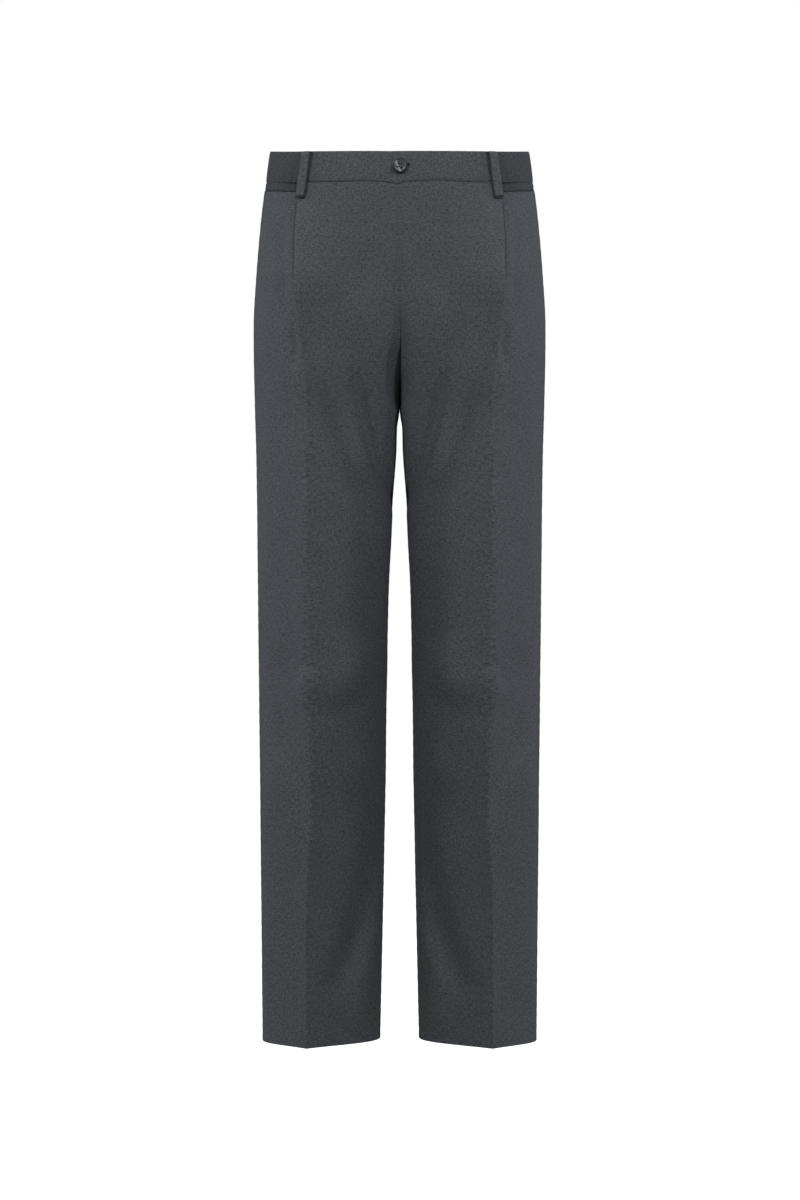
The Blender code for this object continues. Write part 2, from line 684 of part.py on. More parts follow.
def make_button(band):
    """The button, with four sewing holes, and the buttonhole that it sits in."""
    line = Outline(BUTTON_LEVEL, FRONT)
    seat = line.place(BUTTON_X, -(BAND_CLOTH / 2 + BUTTON_STAND))
    profile = [
        (BUTTON_RADIUS - rim * BUTTON_RIM, -height * BUTTON_THICKNESS + dish * BUTTON_DISH)
        for rim, height, dish in BUTTON_PROFILE
    ]
    button = add_piece("waist_button", turned_mesh("waist_button", profile, seat, BUTTON_SIDES), HORN)
    through = ((BUTTON_HOLE_RADIUS, -2 * BUTTON_THICKNESS), (BUTTON_HOLE_RADIUS, BUTTON_THICKNESS))
    for number in range(BUTTON_HOLES):
        angle = BUTTON_TURN + math.pi / 4 + number * math.tau / BUTTON_HOLES
        centre = seat + BUTTON_HOLE_SPREAD * np.array([math.cos(angle), 0.0, math.sin(angle)])
        name = f"button_hole_{number}"
        cut(button, add_cutter(name, turned_mesh(name, through, centre, BUTTON_HOLE_SIDES)))
    low = seat + np.array([BUTTONHOLE[0] - BUTTON_X, -2 * BAND_CLOTH, -BUTTONHOLE_HEIGHT / 2])
    high = seat + np.array([BUTTONHOLE[1] - BUTTON_X, 2 * BAND_CLOTH, BUTTONHOLE_HEIGHT / 2])
    cut(band, add_cutter("buttonhole_slit", box_mesh("buttonhole_slit", low, high)))


def main():
    clear_scene()
    for hand in (LEFT, RIGHT):
        make_front_panel(hand)
        make_back_panel(hand)
        make_pocket_facing(hand)
        make_back_band(hand)
    make_front_band(RIGHT)
    make_button(make_front_band(LEFT))
    make_belt_loops()


main()
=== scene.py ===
"""The looks of the pleated dress trousers: grey wool flannel, pressed, filled out as if worn.

Lengths are in metres in the model's frame. The origin is the middle of the waist opening, +Z is up,
the front faces -Y and +X is the wearer's left. The tables are in millimetres and degrees.

A place on the body surface has a level, its height at the side seam, and a run, the distance round
from the centre seam, or from the inseam below the crotch. An inset moves a place inwards.
"""

import math

import bpy
import bmesh
import numpy as np
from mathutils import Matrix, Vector


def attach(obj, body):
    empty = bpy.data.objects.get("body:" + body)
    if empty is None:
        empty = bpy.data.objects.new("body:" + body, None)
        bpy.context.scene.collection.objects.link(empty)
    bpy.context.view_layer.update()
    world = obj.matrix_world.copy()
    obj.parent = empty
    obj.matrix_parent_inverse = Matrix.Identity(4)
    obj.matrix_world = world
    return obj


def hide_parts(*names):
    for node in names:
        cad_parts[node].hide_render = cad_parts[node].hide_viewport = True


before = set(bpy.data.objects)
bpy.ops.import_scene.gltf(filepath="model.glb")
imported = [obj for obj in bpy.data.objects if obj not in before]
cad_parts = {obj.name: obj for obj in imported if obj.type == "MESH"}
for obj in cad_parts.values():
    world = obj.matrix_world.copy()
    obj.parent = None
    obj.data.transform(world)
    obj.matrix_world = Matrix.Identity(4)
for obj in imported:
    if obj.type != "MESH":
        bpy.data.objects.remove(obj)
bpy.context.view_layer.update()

MM = 0.001
FRONT, BACK = -1, 1  # which way along Y a half of the body faces
LEFT, RIGHT = 1, -1  # the wearer's left is +X

# ---- sizes of the pattern

CLOTH = 1.0 * MM
BAND_CLOTH = 2.0 * MM
SEAM_GAP = 0.3 * MM
LAYER = CLOTH + SEAM_GAP  # one cloth laid under another
BAND_SEAM = -38.0 * MM
PANEL_TOP = BAND_SEAM - SEAM_GAP
FLY_END = -178.0 * MM
CROTCH = -304.0 * MM
HEM = -1046.6 * MM
WAIST_SLOPE = 0.143  # the waist rises towards the back, and levels lie flat below this level
SLOPE_ENDS = -210.0 * MM

FLY_LAP = 1.0 * MM
FLY_UNDERLAP = 10.0 * MM
FLY_CLOSES = 12.0 * MM  # over this height above its end
UNDERLAP_ENDS = -170.0 * MM
UNDERLAP_FADE = 24.0 * MM
FLY_SLOPE = 10.0 * MM  # the right front slopes in over this width towards the lap's edge
FLY_SINK = 0.7 * MM
FLY_UNDER = (-2.0 * MM, 3.0 * MM, 0.7 * MM)  # where it goes on down, over what width and how far
FLY_THIN = 0.7 * MM  # the lap's edge is pressed thin, over this width and from this far above its end
FLY_THIN_REACH = 4.0 * MM
FLY_THIN_FADE = 50.0 * MM
BAND_LAP = 9.0 * MM
BAND_UNDERLAP = 30.0 * MM
BAND_SLOPE = (8.5 * MM, 22.0 * MM, 1.4 * MM)  # the band under its lap: start, width and depth
BAND_UNDER = (4.0 * MM, 4.5 * MM, 1.1 * MM)
SIDE_BAND_INSET = 0.8 * MM

POCKET_DROP_FRONT = 12.0 * MM
POCKET_DROP_SIDE = 9.0 * MM
POCKET_START = 4.0 * MM
POCKET_DEPTH = 34.0 * MM  # how far the facing reaches below the band
POCKET_CURVE = 3.6 * MM  # over this height above the mouth the facing curves in
POCKET_HOLLOW = 2.4 * MM
PLEAT_GAP = 0.6 * MM
PLEAT_EASE = 42.0 * MM
CREVICE = (2.0 * MM, 0.9 * MM, 3.6 * MM)  # beside the pleat's edge: how far out, half its width, depth
CREVICE_OPEN = 6.0 * MM  # it is fully open where the pleat overlaps this much

LOOP_WIDTH = 12.0 * MM
LOOP_CLOTH = 1.7 * MM
LOOP_ROOM = 4.0 * MM  # under the loop at the band's seam, and more towards its top, as it stands off
LOOP_ROOM_MIDDLE = 4.8 * MM
LOOP_ROOM_TOP = 5.8 * MM
LOOP_BOTTOM = -57.0 * MM
LOOP_FOOT = 3.0 * MM
LOOP_FOOT_STAND = 3.2 * MM  # its end is folded under
LOOP_SLACK_BEHIND = 0.5  # the side and back loops have this share of that room
LOOP_DROP = 2.0 * MM
LOOP_TOP_X = 102.9 * MM
LOOP_BOTTOM_X = 112.2 * MM
SIDE_LOOP_PART = 0.25
JOINT_TOP_X = 103.4 * MM  # the joint of the front and side bands, behind the front loop
JOINT_BOTTOM_X = 110.8 * MM
JOINT_TURN_IN = (0.6 * MM, 2.6 * MM, 6.5 * MM)  # the front band's end: from where, how wide, how deep

BUTTON_LEVEL = -19.1 * MM
BUTTON_X = 0.7 * MM
BUTTON_STAND = 1.4 * MM
BUTTON_HOLE_RADIUS = 1.0 * MM
BUTTON_HOLE_SPREAD = 2.75 * MM
BUTTON_TURN = math.radians(-15)
BUTTON_SIDES = 72
BUTTONHOLE_LEVEL = -17.8 * MM
BUTTONHOLE_START = -2.0 * MM
BUTTONHOLE_EYE_X = 10.3 * MM
BUTTONHOLE_EYE = 1.3 * MM
BUTTONHOLE_SLIT = 0.5 * MM

# ---- the body surface

SIDE_COLUMNS = ("level", "side_x", "side_y", "inner_x", "fullness")
SIDE = (
    (0, 152.6, 0, 0.0, 1.0),
    (-36, 157.2, 0, 0.0, 1.0),
    (-86, 163.4, 0, 0.0, 1.0),
    (-145, 168.5, 0, 0.0, 1.0),
    (-205, 171.4, 0, 0.05, 1.0),
    (-240, 171.2, 0, 0.3, 1.0),
    (-260, 170.9, 0, 0.36, 1.0),
    (-277, 170.6, 0, 0.42, 1.12),
    (-290, 170.4, 0, 0.46, 1.18),
    (-304, 170.2, 0, 0.5, 1.28),
    (-322, 169.8, 0, 3.2, 1.34),
    (-352, 168.8, 0, 4.6, 1.4),
    (-411, 167.7, 0, 8.5, 1.42),
    (-470, 167.0, 0, 11.1, 1.38),
    (-529, 166.5, 0, 13.4, 1.3),
    (-647, 165.3, 0, 15.6, 1.15),
    (-765, 163.9, -1, 17.0, 1.0),
    (-883, 162.6, -3, 19.5, 1.0),
    (-1047, 160.9, -8, 23.0, 1.0),
)
HALF_COLUMNS = (
    "level", "inner_depth", "bend_depth", "inner_turn", "crease_x", "crease_depth", "turn_in", "turn_out"
)
FRONT_HALF = (
    (0, 111.0, 111.0, 0, 112.0, 82.0, 36, 36),
    (-36, 112.5, 112.5, 0, 115.5, 83.2, 36, 36),
    (-60, 113.5, 113.5, 0, 116.6, 85.5, 33, 35),
    (-120, 113.5, 113.5, 0, 117.4, 91.5, 22, 36),
    (-180, 107.0, 107.0, -3, 117.0, 96.0, 13, 36),
    (-215, 98.0, 98.0, -20, 115.0, 98.0, 9, 35),
    (-240, 89.0, 89.0, -40, 112.5, 98.5, 4, 34),
    (-260, 79.0, 79.0, -60, 110.3, 98.5, 1, 34),
    (-277, 64.0, 66.0, -76, 108.6, 98.0, -3, 33),
    (-290, 42.0, 54.0, -90, 107.4, 97.3, -6, 33),
    (-304, -15.0, 49.0, -90, 106.3, 96.5, -9, 33),
    (-316, -14.8, 46.0, -90, 105.9, 95.7, -11, 33),
    (-345, -14.0, 39.0, -90, 105.0, 94.0, -15, 32),
    (-400, -12.0, 28.0, -90, 104.2, 91.5, -19, 33),
    (-466, -10.0, 17.0, -90, 104.1, 88.5, -23, 35),
    (-576, -8.0, 0.0, -90, 102.2, 84.5, -28, 38),
    (-680, -8.0, -8.0, -90, 102.4, 81.5, -32, 41),
    (-765, -8.0, -8.0, -90, 102.4, 79.5, -34, 43),
    (-900, -9.0, -9.0, -90, 107.4, 76.0, -36, 45),
    (-1047, -10.6, -10.6, -90, 107.4, 73.0, -39, 46),
)
BACK_HALF = (
    (0, 113.0, 113.0, 0, 80.0, 100.5, 20, 20),
    (-36, 118.0, 118.0, 0, 82.0, 106.0, 19, 19),
    (-100, 126.0, 126.0, 0, 88.0, 119.0, 15, 17),
    (-160, 128.0, 128.0, -2, 92.0, 128.5, 8, 15),
    (-200, 125.0, 125.0, -12, 95.0, 131.5, 3, 16),
    (-225, 119.0, 119.0, -26, 96.5, 130.5, 0, 18),
    (-245, 107.0, 107.0, -42, 98.0, 127.5, -2, 20),
    (-262, 90.0, 90.0, -58, 99.0, 124.0, -4, 22),
    (-277, 71.0, 74.5, -76, 100.0, 120.0, -6, 24),
    (-290, 50.0, 62.0, -90, 100.7, 116.0, -8, 25),
    (-304, 15.0, 60.0, -90, 101.5, 112.0, -10, 26),
    (-316, 14.8, 57.0, -90, 101.9, 108.8, -11, 27),
    (-345, 14.0, 50.0, -90, 103.0, 101.5, -14, 30),
    (-400, 12.0, 41.0, -90, 103.5, 93.0, -18, 32),
    (-466, 10.0, 30.0, -90, 103.5, 86.0, -22, 35),
    (-576, 8.0, 16.0, -90, 102.5, 78.5, -27, 38),
    (-680, 8.0, 8.0, -90, 102.8, 75.0, -30, 41),
    (-765, 8.0, 8.0, -90, 103.5, 74.0, -32, 43),
    (-900, 9.0, 9.0, -90, 106.8, 74.5, -35, 45),
    (-1047, 10.6, 10.6, -90, 107.2, 75.5, -38, 46),
)
PLEAT_COLUMNS = ("level", "overlap", "fold")
PLEAT = (
    (-36, 16.0, 180),
    (-105, 11.0, 180),
    (-150, 5.0, 180),
    (-160, 3.5, 150),
    (-170, 2.4, 120),
    (-180, 1.5, 92),
    (-190, 0.9, 62),
    (-200, 0.4, 34),
    (-215, 0.0, 0),
)
ANGLES = ("inner_turn", "turn_in", "turn_out", "fold")
SAMPLES = 40  # points that a stretch of outline is worked out at


def smooth_step(share):
    share = np.clip(share, 0.0, 1.0)
    return share * share * (3.0 - 2.0 * share)


class Table:
    """A short table, read at any level by smooth curves through its rows that don't overshoot."""

    def __init__(self, columns, rows):
        rows = np.array(rows, float)[::-1]
        self.places = rows[:, 0] * MM
        self.curves = {}
        for number, name in enumerate(columns[1:], start=1):
            unit_size = math.radians(1) if name in ANGLES else 1.0 if name == "fullness" else MM
            values = rows[:, number] * unit_size
            steps = np.diff(values) / np.diff(self.places)
            before, after = steps[:-1], steps[1:]
            both = before * after
            inner = np.where(both > 0, 2 * both / np.where(both > 0, before + after, 1.0), 0.0)
            self.curves[name] = (values, np.concatenate([steps[:1], inner, steps[-1:]]))

    def at(self, level):
        level = min(max(level, self.places[0]), self.places[-1])
        low = min(int(np.searchsorted(self.places, level, side="right")) - 1, len(self.places) - 2)
        width = self.places[low + 1] - self.places[low]
        t = (level - self.places[low]) / width
        weights = (
            (1 + 2 * t) * (1 - t) ** 2,
            t * (1 - t) ** 2 * width,
            t * t * (3 - 2 * t),
            t * t * (t - 1) * width,
        )
        found = {}
        for name, (values, slopes) in self.curves.items():
            parts = (values[low], slopes[low], values[low + 1], slopes[low + 1])
            found[name] = sum(weight * part for weight, part in zip(weights, parts))
        return found


SIDE_TABLE = Table(SIDE_COLUMNS, SIDE)
HALF_TABLES = {FRONT: Table(HALF_COLUMNS, FRONT_HALF), BACK: Table(HALF_COLUMNS, BACK_HALF)}
PLEAT_TABLE = Table(PLEAT_COLUMNS, PLEAT)


def direction(turn):
    return np.array([math.cos(turn), -math.sin(turn)])


def stretch(start, start_turn, end, end_turn, fullness=1.0):
    """Points and turns along a curve with given end directions. A fuller one bends more sharply."""
    bend = abs(end_turn - start_turn)
    chord = np.linalg.norm(end - start)
    reach = chord / 3 if bend < 0.01 else chord * (2 / 3) * math.tan(bend / 4) / math.sin(bend / 2)
    reach *= fullness
    first = start + reach * direction(start_turn)
    last = end - reach * direction(end_turn)
    t = np.linspace(0, 1, SAMPLES + 1)[:, None]
    points = (1 - t) ** 3 * start + 3 * t * (1 - t) ** 2 * first + 3 * t * t * (1 - t) * last + t**3 * end
    runs = 3 * (1 - t) ** 2 * (first - start) + 6 * t * (1 - t) * (last - first) + 3 * t * t * (end - last)
    return points, np.arctan2(-runs[:, 1], runs[:, 0])


class Outline:
    """Half the body's outline at one level, front or back, from its inner point to the side seam."""

    def __init__(self, level, facing):
        side = SIDE_TABLE.at(level)
        half = HALF_TABLES[facing].at(level)
        inner = np.array([side["inner_x"], half["inner_depth"]])
        bend = np.array([side["inner_x"], max(half["bend_depth"], half["inner_depth"])])
        crease = np.array([half["crease_x"], half["crease_depth"]])
        outer = np.array([side["side_x"], facing * side["side_y"]])
        to_crease = stretch(bend, half["inner_turn"], crease, half["turn_in"], side["fullness"])
        to_side = stretch(crease, half["turn_out"], outer, math.pi / 2)
        self.level = level
        self.facing = facing
        self.points = np.vstack([inner, to_crease[0], to_side[0]])
        self.turns = np.concatenate([to_crease[1][:1], to_crease[1], to_side[1]])
        self.turns[SAMPLES + 1 : SAMPLES + 3] = (half["turn_in"] + half["turn_out"]) / 2
        steps = np.linalg.norm(np.diff(self.points, axis=0), axis=1)
        self.runs = np.concatenate([[0.0], np.cumsum(steps)])
        self.crease = self.runs[SAMPLES + 1]
        self.wall = self.runs[1]
        self.length = self.runs[-1]
        self.slope = WAIST_SLOPE * (1 - smooth_step(level / SLOPE_ENDS))

    def run_at_x(self, x):
        return float(np.interp(x, self.points[:, 0], self.runs))

    def place(self, run, inset=0.0):
        """Points at runs. A run below 0 carries on past the centre, onto the other side."""
        run = np.asarray(run, float)
        there = np.abs(run)
        x = np.interp(there, self.runs, self.points[:, 0])
        depth = np.interp(there, self.runs, self.points[:, 1])
        turn = np.interp(there, self.runs, self.turns)
        z = self.level + self.slope * self.facing * depth
        x = x - inset * np.sin(turn)
        depth = depth - inset * np.cos(turn)
        return np.stack([np.copysign(x, run), self.facing * depth, z], axis=-1)


# ---- folds pressed and worn into the cloth

# Each is a soft ridge, or a trough where its height is below 0, along a bow from one place to
# another by way of a third. Places are the distance from the centre and the height. The widths are
# how far it reaches to the right and to the left of its line, as one walks along it.
FOLD_COLUMNS = (
    "from_x", "from_z", "via_x", "via_z", "to_x", "to_z", "height", "width_right", "width_left"
)
FRONT_FOLDS = (
    (130, -150, 74, -176, -6, -240, 6.5, 58, 54),
    (136, -138, 100, -138, 46, -142, 7.0, 95, 84),
    (104, -303, 60, -307, 20, -320, 1.6, 42, 50),
    (82, -160, 78, -335, 42, -410, 5.0, 36, 36),
    (112, -205, 92, -350, 22, -466, -5.5, 19, 22),
    (56, -250, 42, -345, 2, -430, -7.5, 13, 13),
    (44, -790, 90, -540, 56, -300, 15.5, 84, 48),
    (116, -612, 72, -652, 44, -566, 6.5, 46, 40),
    (62, -700, 62, -850, 94, -955, 2.4, 34, 30),
    (18, -735, 28, -940, 92, -1000, -6.4, 22, 30),
    (34, -900, 40, -980, 48, -1040, 1.8, 20, 18),
    (126, -205, 118, -236, 123, -266, -3.4, 8, 8),
    (164, -752, 136, -754, 106, -742, 6.5, 112, 150),
)
BACK_FOLDS = (
    (20, -262, 60, -320, 110, -350, -3.0, 26, 20),
    (24, -300, 62, -352, 100, -372, 2.0, 18, 22),
    (30, -350, 58, -400, 92, -410, -1.8, 18, 20),
    (132, -250, 118, -330, 126, -400, -1.6, 26, 24),
    (44, -600, 70, -650, 96, -640, -2.4, 22, 26),
    (50, -640, 74, -690, 98, -690, 2.0, 20, 22),
    (60, -700, 56, -820, 74, -930, -2.0, 24, 18),
    (134, -610, 124, -700, 132, -800, -1.4, 22, 24),
    (80, -900, 66, -980, 76, -1040, 1.8, 22, 22),
)
FOLD_STEPS = 24
FOLD_SOFT_END = 0.15  # the share of its length over which a fold starts and ends
FOLD_FULLNESS = 0.7
RIPPLES = 14  # broad, shallow unevenness of cloth that was pressed and then worn
RIPPLE_LENGTHS = (45.0 * MM, 150.0 * MM)
RIPPLE_HEIGHT = 0.22 * MM
SEAM_TUCK = 0.7 * MM  # how far the cloth dips where a seam holds it
SEAM_TUCK_REACH = 2.2 * MM
SEAM_EDGE = CLOTH / 2 - 0.2 * MM  # the rounded edges of two panels press into each other
BACK_SEAM_PRESS = 1.0 * MM  # more so at the centre back above the crotch, where they turn in
BACK_PRESS_FADE = 10.0 * MM
BACK_TOP_PRESS = 0.9 * MM  # and under the band
RELIEF_MARGIN = 9.0 * MM  # the folds fade this near to a seam
PUCKER_LENGTH = 15.0 * MM
PUCKER_HEIGHT = 0.16 * MM
PUCKER_REACH = 9.0 * MM


def fold_relief(folds, x, z):
    """How far the folds lift each place."""
    relief = np.zeros_like(x)
    for fold in folds:
        row = dict(zip(FOLD_COLUMNS, np.array(fold, float) * MM))
        start = np.array([row["from_x"], row["from_z"]])
        via = np.array([row["via_x"], row["via_z"]])
        end = np.array([row["to_x"], row["to_z"]])
        t = np.linspace(0, 1, FOLD_STEPS + 1)[:, None]
        path = (1 - t) ** 2 * start + 2 * t * (1 - t) * via + t * t * end
        nearest = np.full(x.shape, np.inf)
        across = np.zeros_like(x)
        along = np.zeros_like(x)
        for step in range(FOLD_STEPS):
            leg = path[step + 1] - path[step]
            length = np.linalg.norm(leg)
            dx, dz = x - path[step][0], z - path[step][1]
            share = np.clip((dx * leg[0] + dz * leg[1]) / length**2, 0, 1)
            away_x, away_z = dx - share * leg[0], dz - share * leg[1]
            distance = np.hypot(away_x, away_z)
            closer = distance < nearest
            nearest = np.where(closer, distance, nearest)
            side = np.sign(away_x * leg[1] - away_z * leg[0])
            across = np.where(closer, side, across)
            along = np.where(closer, (step + share) / FOLD_STEPS, along)
        width = np.where(across > 0, row["width_right"], row["width_left"])
        profile = np.cos(np.clip(nearest / width, 0, 1) * math.pi) / 2 + 0.5
        soft_ends = smooth_step(along / FOLD_SOFT_END) * smooth_step((1 - along) / FOLD_SOFT_END)
        relief += row["height"] * profile * np.sin(np.pi * along) ** FOLD_FULLNESS * soft_ends
    return relief


def ripple_relief(x, z, seed):
    """Long shallow waves, mostly upright as cloth hangs."""
    random = np.random.default_rng(seed)
    relief = np.zeros_like(x)
    for _ in range(RIPPLES):
        length = random.uniform(*RIPPLE_LENGTHS)
        heading = random.normal(0.0, 0.45)
        phase = random.uniform(0, math.tau)
        place = x * math.cos(heading) + z * math.sin(heading)
        sway = 0.35 * np.sin(math.tau * z / (3.1 * length) + phase)
        relief += np.sin(math.tau * place / length + phase + sway)
    return RIPPLE_HEIGHT * relief / math.sqrt(RIPPLES / 2)


def seam_dip(distance, place):
    """The dip along a seam, with its slight puckers. The distance is from the seam."""
    dip = SEAM_TUCK * np.exp(-np.square(distance / SEAM_TUCK_REACH))
    pucker = PUCKER_HEIGHT * np.sin(math.tau * place / PUCKER_LENGTH + 2.0 * np.sin(place * 37.0))
    return dip - pucker * np.exp(-distance / PUCKER_REACH)


# ---- cloth as a mesh

EDGE_TURNS = (60, 20, -20, -60)  # the points that round a cloth's edge, in degrees
END_STEPS = (0.4 * MM, 1.0 * MM, 1.8 * MM, 2.8 * MM)


def link_object(name, data):
    piece = bpy.data.objects.new(name, data)
    bpy.context.scene.collection.objects.link(piece)
    return piece


def mesh_piece(name, places, faces):
    """A mesh as an object of the scene, with its faces turned outwards."""
    mesh = bpy.data.meshes.new(name)
    mesh.from_pydata(places.tolist(), [], faces)
    work = bmesh.new()
    work.from_mesh(mesh)
    bmesh.ops.recalc_face_normals(work, faces=work.faces)
    work.to_mesh(mesh)
    work.free()
    return link_object(name, mesh)


def lay_uv(mesh, name, uv):
    """A UV layer, from one place for each point of the mesh."""
    layer = mesh.uv_layers.new(name=name)
    corners = np.zeros(len(mesh.loops), np.int32)
    mesh.loops.foreach_get("vertex_index", corners)
    layer.data.foreach_set("uv", uv[corners].astype(np.float32).ravel())


def tube_faces(rings, sides):
    """The faces of a tube of rings of points, closed at both ends."""
    faces = [list(range(sides))[::-1], list(range((rings - 1) * sides, rings * sides))]
    for low in range(0, (rings - 1) * sides, sides):
        for side in range(sides):
            after = (side + 1) % sides
            faces.append([low + side, low + after, low + sides + after, low + sides + side])
    return faces


def unit(vectors):
    return vectors / np.maximum(np.linalg.norm(vectors, axis=-1, keepdims=True), 1e-12)


def cloth_piece(name, points, uv, thickness, outward):
    """A cloth from a grid of points down its middle: two skins and a rounded edge all round.

    The thickness is one number, or one for each point. Outward is 1 or -1, whichever turns the
    grid's own normal to the outside.
    """
    rows, columns = points.shape[:2]
    along = unit(np.gradient(points, axis=1))
    down = unit(np.gradient(points, axis=0))
    normal = outward * unit(np.cross(along, down))
    half = np.broadcast_to(np.asarray(thickness, float) / 2, (rows, columns))[..., None]
    edge = [(0, c) for c in range(columns)]
    edge += [(r, columns - 1) for r in range(1, rows)]
    edge += [(rows - 1, c) for c in range(columns - 2, -1, -1)]
    edge += [(r, 0) for r in range(rows - 2, 0, -1)]
    edge_rows, edge_columns = np.array(edge).T
    place_down, place_along = np.arange(rows)[:, None, None], np.arange(columns)[None, :, None]
    out = down * (place_down == rows - 1) - down * (place_down == 0)
    out = out - along * (place_along == 0) + along * (place_along == columns - 1)
    out = unit(out[edge_rows, edge_columns])
    middle, up, reach = (part[edge_rows, edge_columns] for part in (points, normal, half))
    rims = [middle + reach * (out * math.cos(turn) + up * math.sin(turn)) for turn in np.radians(EDGE_TURNS)]
    outer = (points + normal * half).reshape(-1, 3)
    inner = (points - normal * half).reshape(-1, 3)
    places = np.vstack([outer, inner, *rims])
    grid = np.arange(rows * columns).reshape(rows, columns)
    quads = np.stack([grid[:-1, :-1], grid[1:, :-1], grid[1:, 1:], grid[:-1, 1:]], axis=-1).reshape(-1, 4)
    count, around = rows * columns, len(edge)
    edge_index = edge_rows * columns + edge_columns
    rings = [edge_index]
    rings += [2 * count + number * around + np.arange(around) for number in range(len(EDGE_TURNS))]
    rings.append(count + edge_index)
    walls = [
        np.stack([one, np.roll(one, -1), np.roll(other, -1), other], axis=-1)
        for one, other in zip(rings[:-1], rings[1:])
    ]
    faces = np.vstack([quads, quads[:, ::-1] + count, *walls])
    flat_uv = uv.reshape(-1, 2)
    place_uv = np.vstack([flat_uv, flat_uv, *[flat_uv[edge_index]] * len(EDGE_TURNS)])
    piece = mesh_piece(name, places, faces.tolist())
    lay_uv(piece.data, "Grain", place_uv)
    piece.data.shade_smooth()
    return piece


def mirrored(points, hand):
    return points * np.array([hand, 1.0, 1.0])


def side_name(hand):
    return "left" if hand == LEFT else "right"


def spaced(start, end, count):
    """Places from start to end, with a few more close to both ends."""
    sign = 1 if end > start else -1
    near = sign * np.array(END_STEPS)
    middle = np.linspace(start + near[-1], end - near[-1], count)
    return np.concatenate([[start], start + near[:-1], middle, end - near[-2::-1], [end]])


def eased(start, end, count):
    """Places between start and end, both left out, closer together near both."""
    share = np.linspace(0, 1, count + 2)[1:-1]
    bunched = 0.5 - 0.5 * np.cos(np.pi * share)
    return start + (end - start) * (0.35 * bunched + 0.65 * share)


def fade(distance, reach):
    """1 at a place, and less on both sides of it."""
    return np.exp(-np.square(distance / reach))


def column(rows, name):
    """One value of each row of a table or each outline, down a grid."""
    values = [row[name] if isinstance(row, dict) else getattr(row, name) for row in rows]
    return np.array(values)[:, None]


def on_lines(lines, runs, insets=None):
    """The grid of points at the runs and insets of each outline."""
    insets = 0 * runs if insets is None else insets
    return np.stack([line.place(run, inset) for line, run, inset in zip(lines, runs, insets)])


def grain_row(runs, level):
    return np.stack([runs, np.full(len(runs), level)], axis=-1)


# ---- front panels

ROWS = 300  # rows and columns of the grids
GRID_TOP = -30.0 * MM  # the panels' grids start above the band's seam and are trimmed to their edge
SETTLED = PANEL_TOP - 40.0 * MM  # below this level a trimmed grid is as it was
EDGE_END = 2.5 * MM
EDGE_COLUMNS = 9
WALL_COLUMNS = 8
WALL_LEAST = 2.0 * MM  # the columns beside the centre seam take up at least this width
INNER_COLUMNS = 42
OUTER_COLUMNS = 40
BESIDE_PLEAT = (0.5 * MM, 1.0 * MM, 1.5 * MM, 2.0 * MM, 2.5 * MM, 3.0 * MM, 3.8 * MM)
PLEAT_ARC_STEPS = 6
LEAST_ARC_STEP = 0.22 * MM
LEAST_PLEAT_LEG = 1.4 * MM
FLAT_PLEAT = math.radians(40)  # a pleat that folds less than this is on its way to being flat
SEAM_COLUMNS = ("x", "rise", "reach")
SEAM_COURSE = ((42, 1.9, 20), (-41, 1.1, 16), (-4, -3.0, 8.5))  # the band's seam beside its lap
LAP_TUCK = 1.3 * MM  # the cloth is drawn in under the lap's end
LAP_TUCK_X = 4.0 * MM
LAP_TUCK_REACH = (5.0 * MM, 3.0 * MM)

# The front seam doesn't run quite straight: how far it lies to the wearer's left of the centre, how
# deep the line along it is, the hollow beside it on the right thigh, with where its edge is and how
# deep it is, how far the left thigh's cloth fills out beside it, and how far both sides come forward.
CENTRE_COLUMNS = ("level", "sway", "groove", "hollow_x", "hollow", "fill", "ease")
CENTRE = (
    (-36, -0.2, 0.0, 1.0, 0.0, 0.0, 0.0),
    (-110, -0.3, 0.0, 1.0, 0.0, 0.0, 0.0),
    (-135, -0.5, 0.1, 1.0, 0.0, 0.0, 0.2),
    (-150, -0.2, 0.4, 1.0, 0.0, 0.0, 0.5),
    (-178, 0.3, 0.4, 1.0, 0.0, 0.0, 1.5),
    (-222, 1.4, 0.6, 5.0, 0.0, 0.5, 4.0),
    (-236, 1.4, 0.3, 9.0, 1.2, 1.0, 5.0),
    (-250, 1.2, 0.2, 13.0, 6.0, 1.0, 5.5),
    (-262, 1.0, 0.1, 14.0, 9.0, 1.0, 5.5),
    (-277, 0.9, 0.0, 13.8, 11.0, 1.0, 5.5),
    (-290, 0.9, 0.0, 12.4, 13.0, 2.0, 5.0),
    (-302, 0.8, 0.0, 9.5, 12.0, 4.0, 4.5),
    (-313, 0.0, 0.0, 3.0, 0.0, 6.0, 4.0),
    (-350, 0.0, 0.0, 3.0, 0.0, 3.0, 2.0),
    (-430, 0.0, 0.0, 3.0, 0.0, 0.0, 0.0),
    (-1047, 0.0, 0.0, 3.0, 0.0, 0.0, 0.0),
)
CENTRE_TABLE = Table(CENTRE_COLUMNS, CENTRE)
SWAY_REACH = 24.0 * MM
GROOVE_REACH = 1.3 * MM
EASE_REACH = 50.0 * MM
HOLLOW_EDGE = 2.4 * MM
FILL_REACH = 14.0 * MM
SEAM_RETURN = 1.0 * MM
CROTCH_FADE = 20.0 * MM
FORWARD = (15.0 * MM, 40.0 * MM)  # the centre's shape starts this far in front of the sides, over this depth


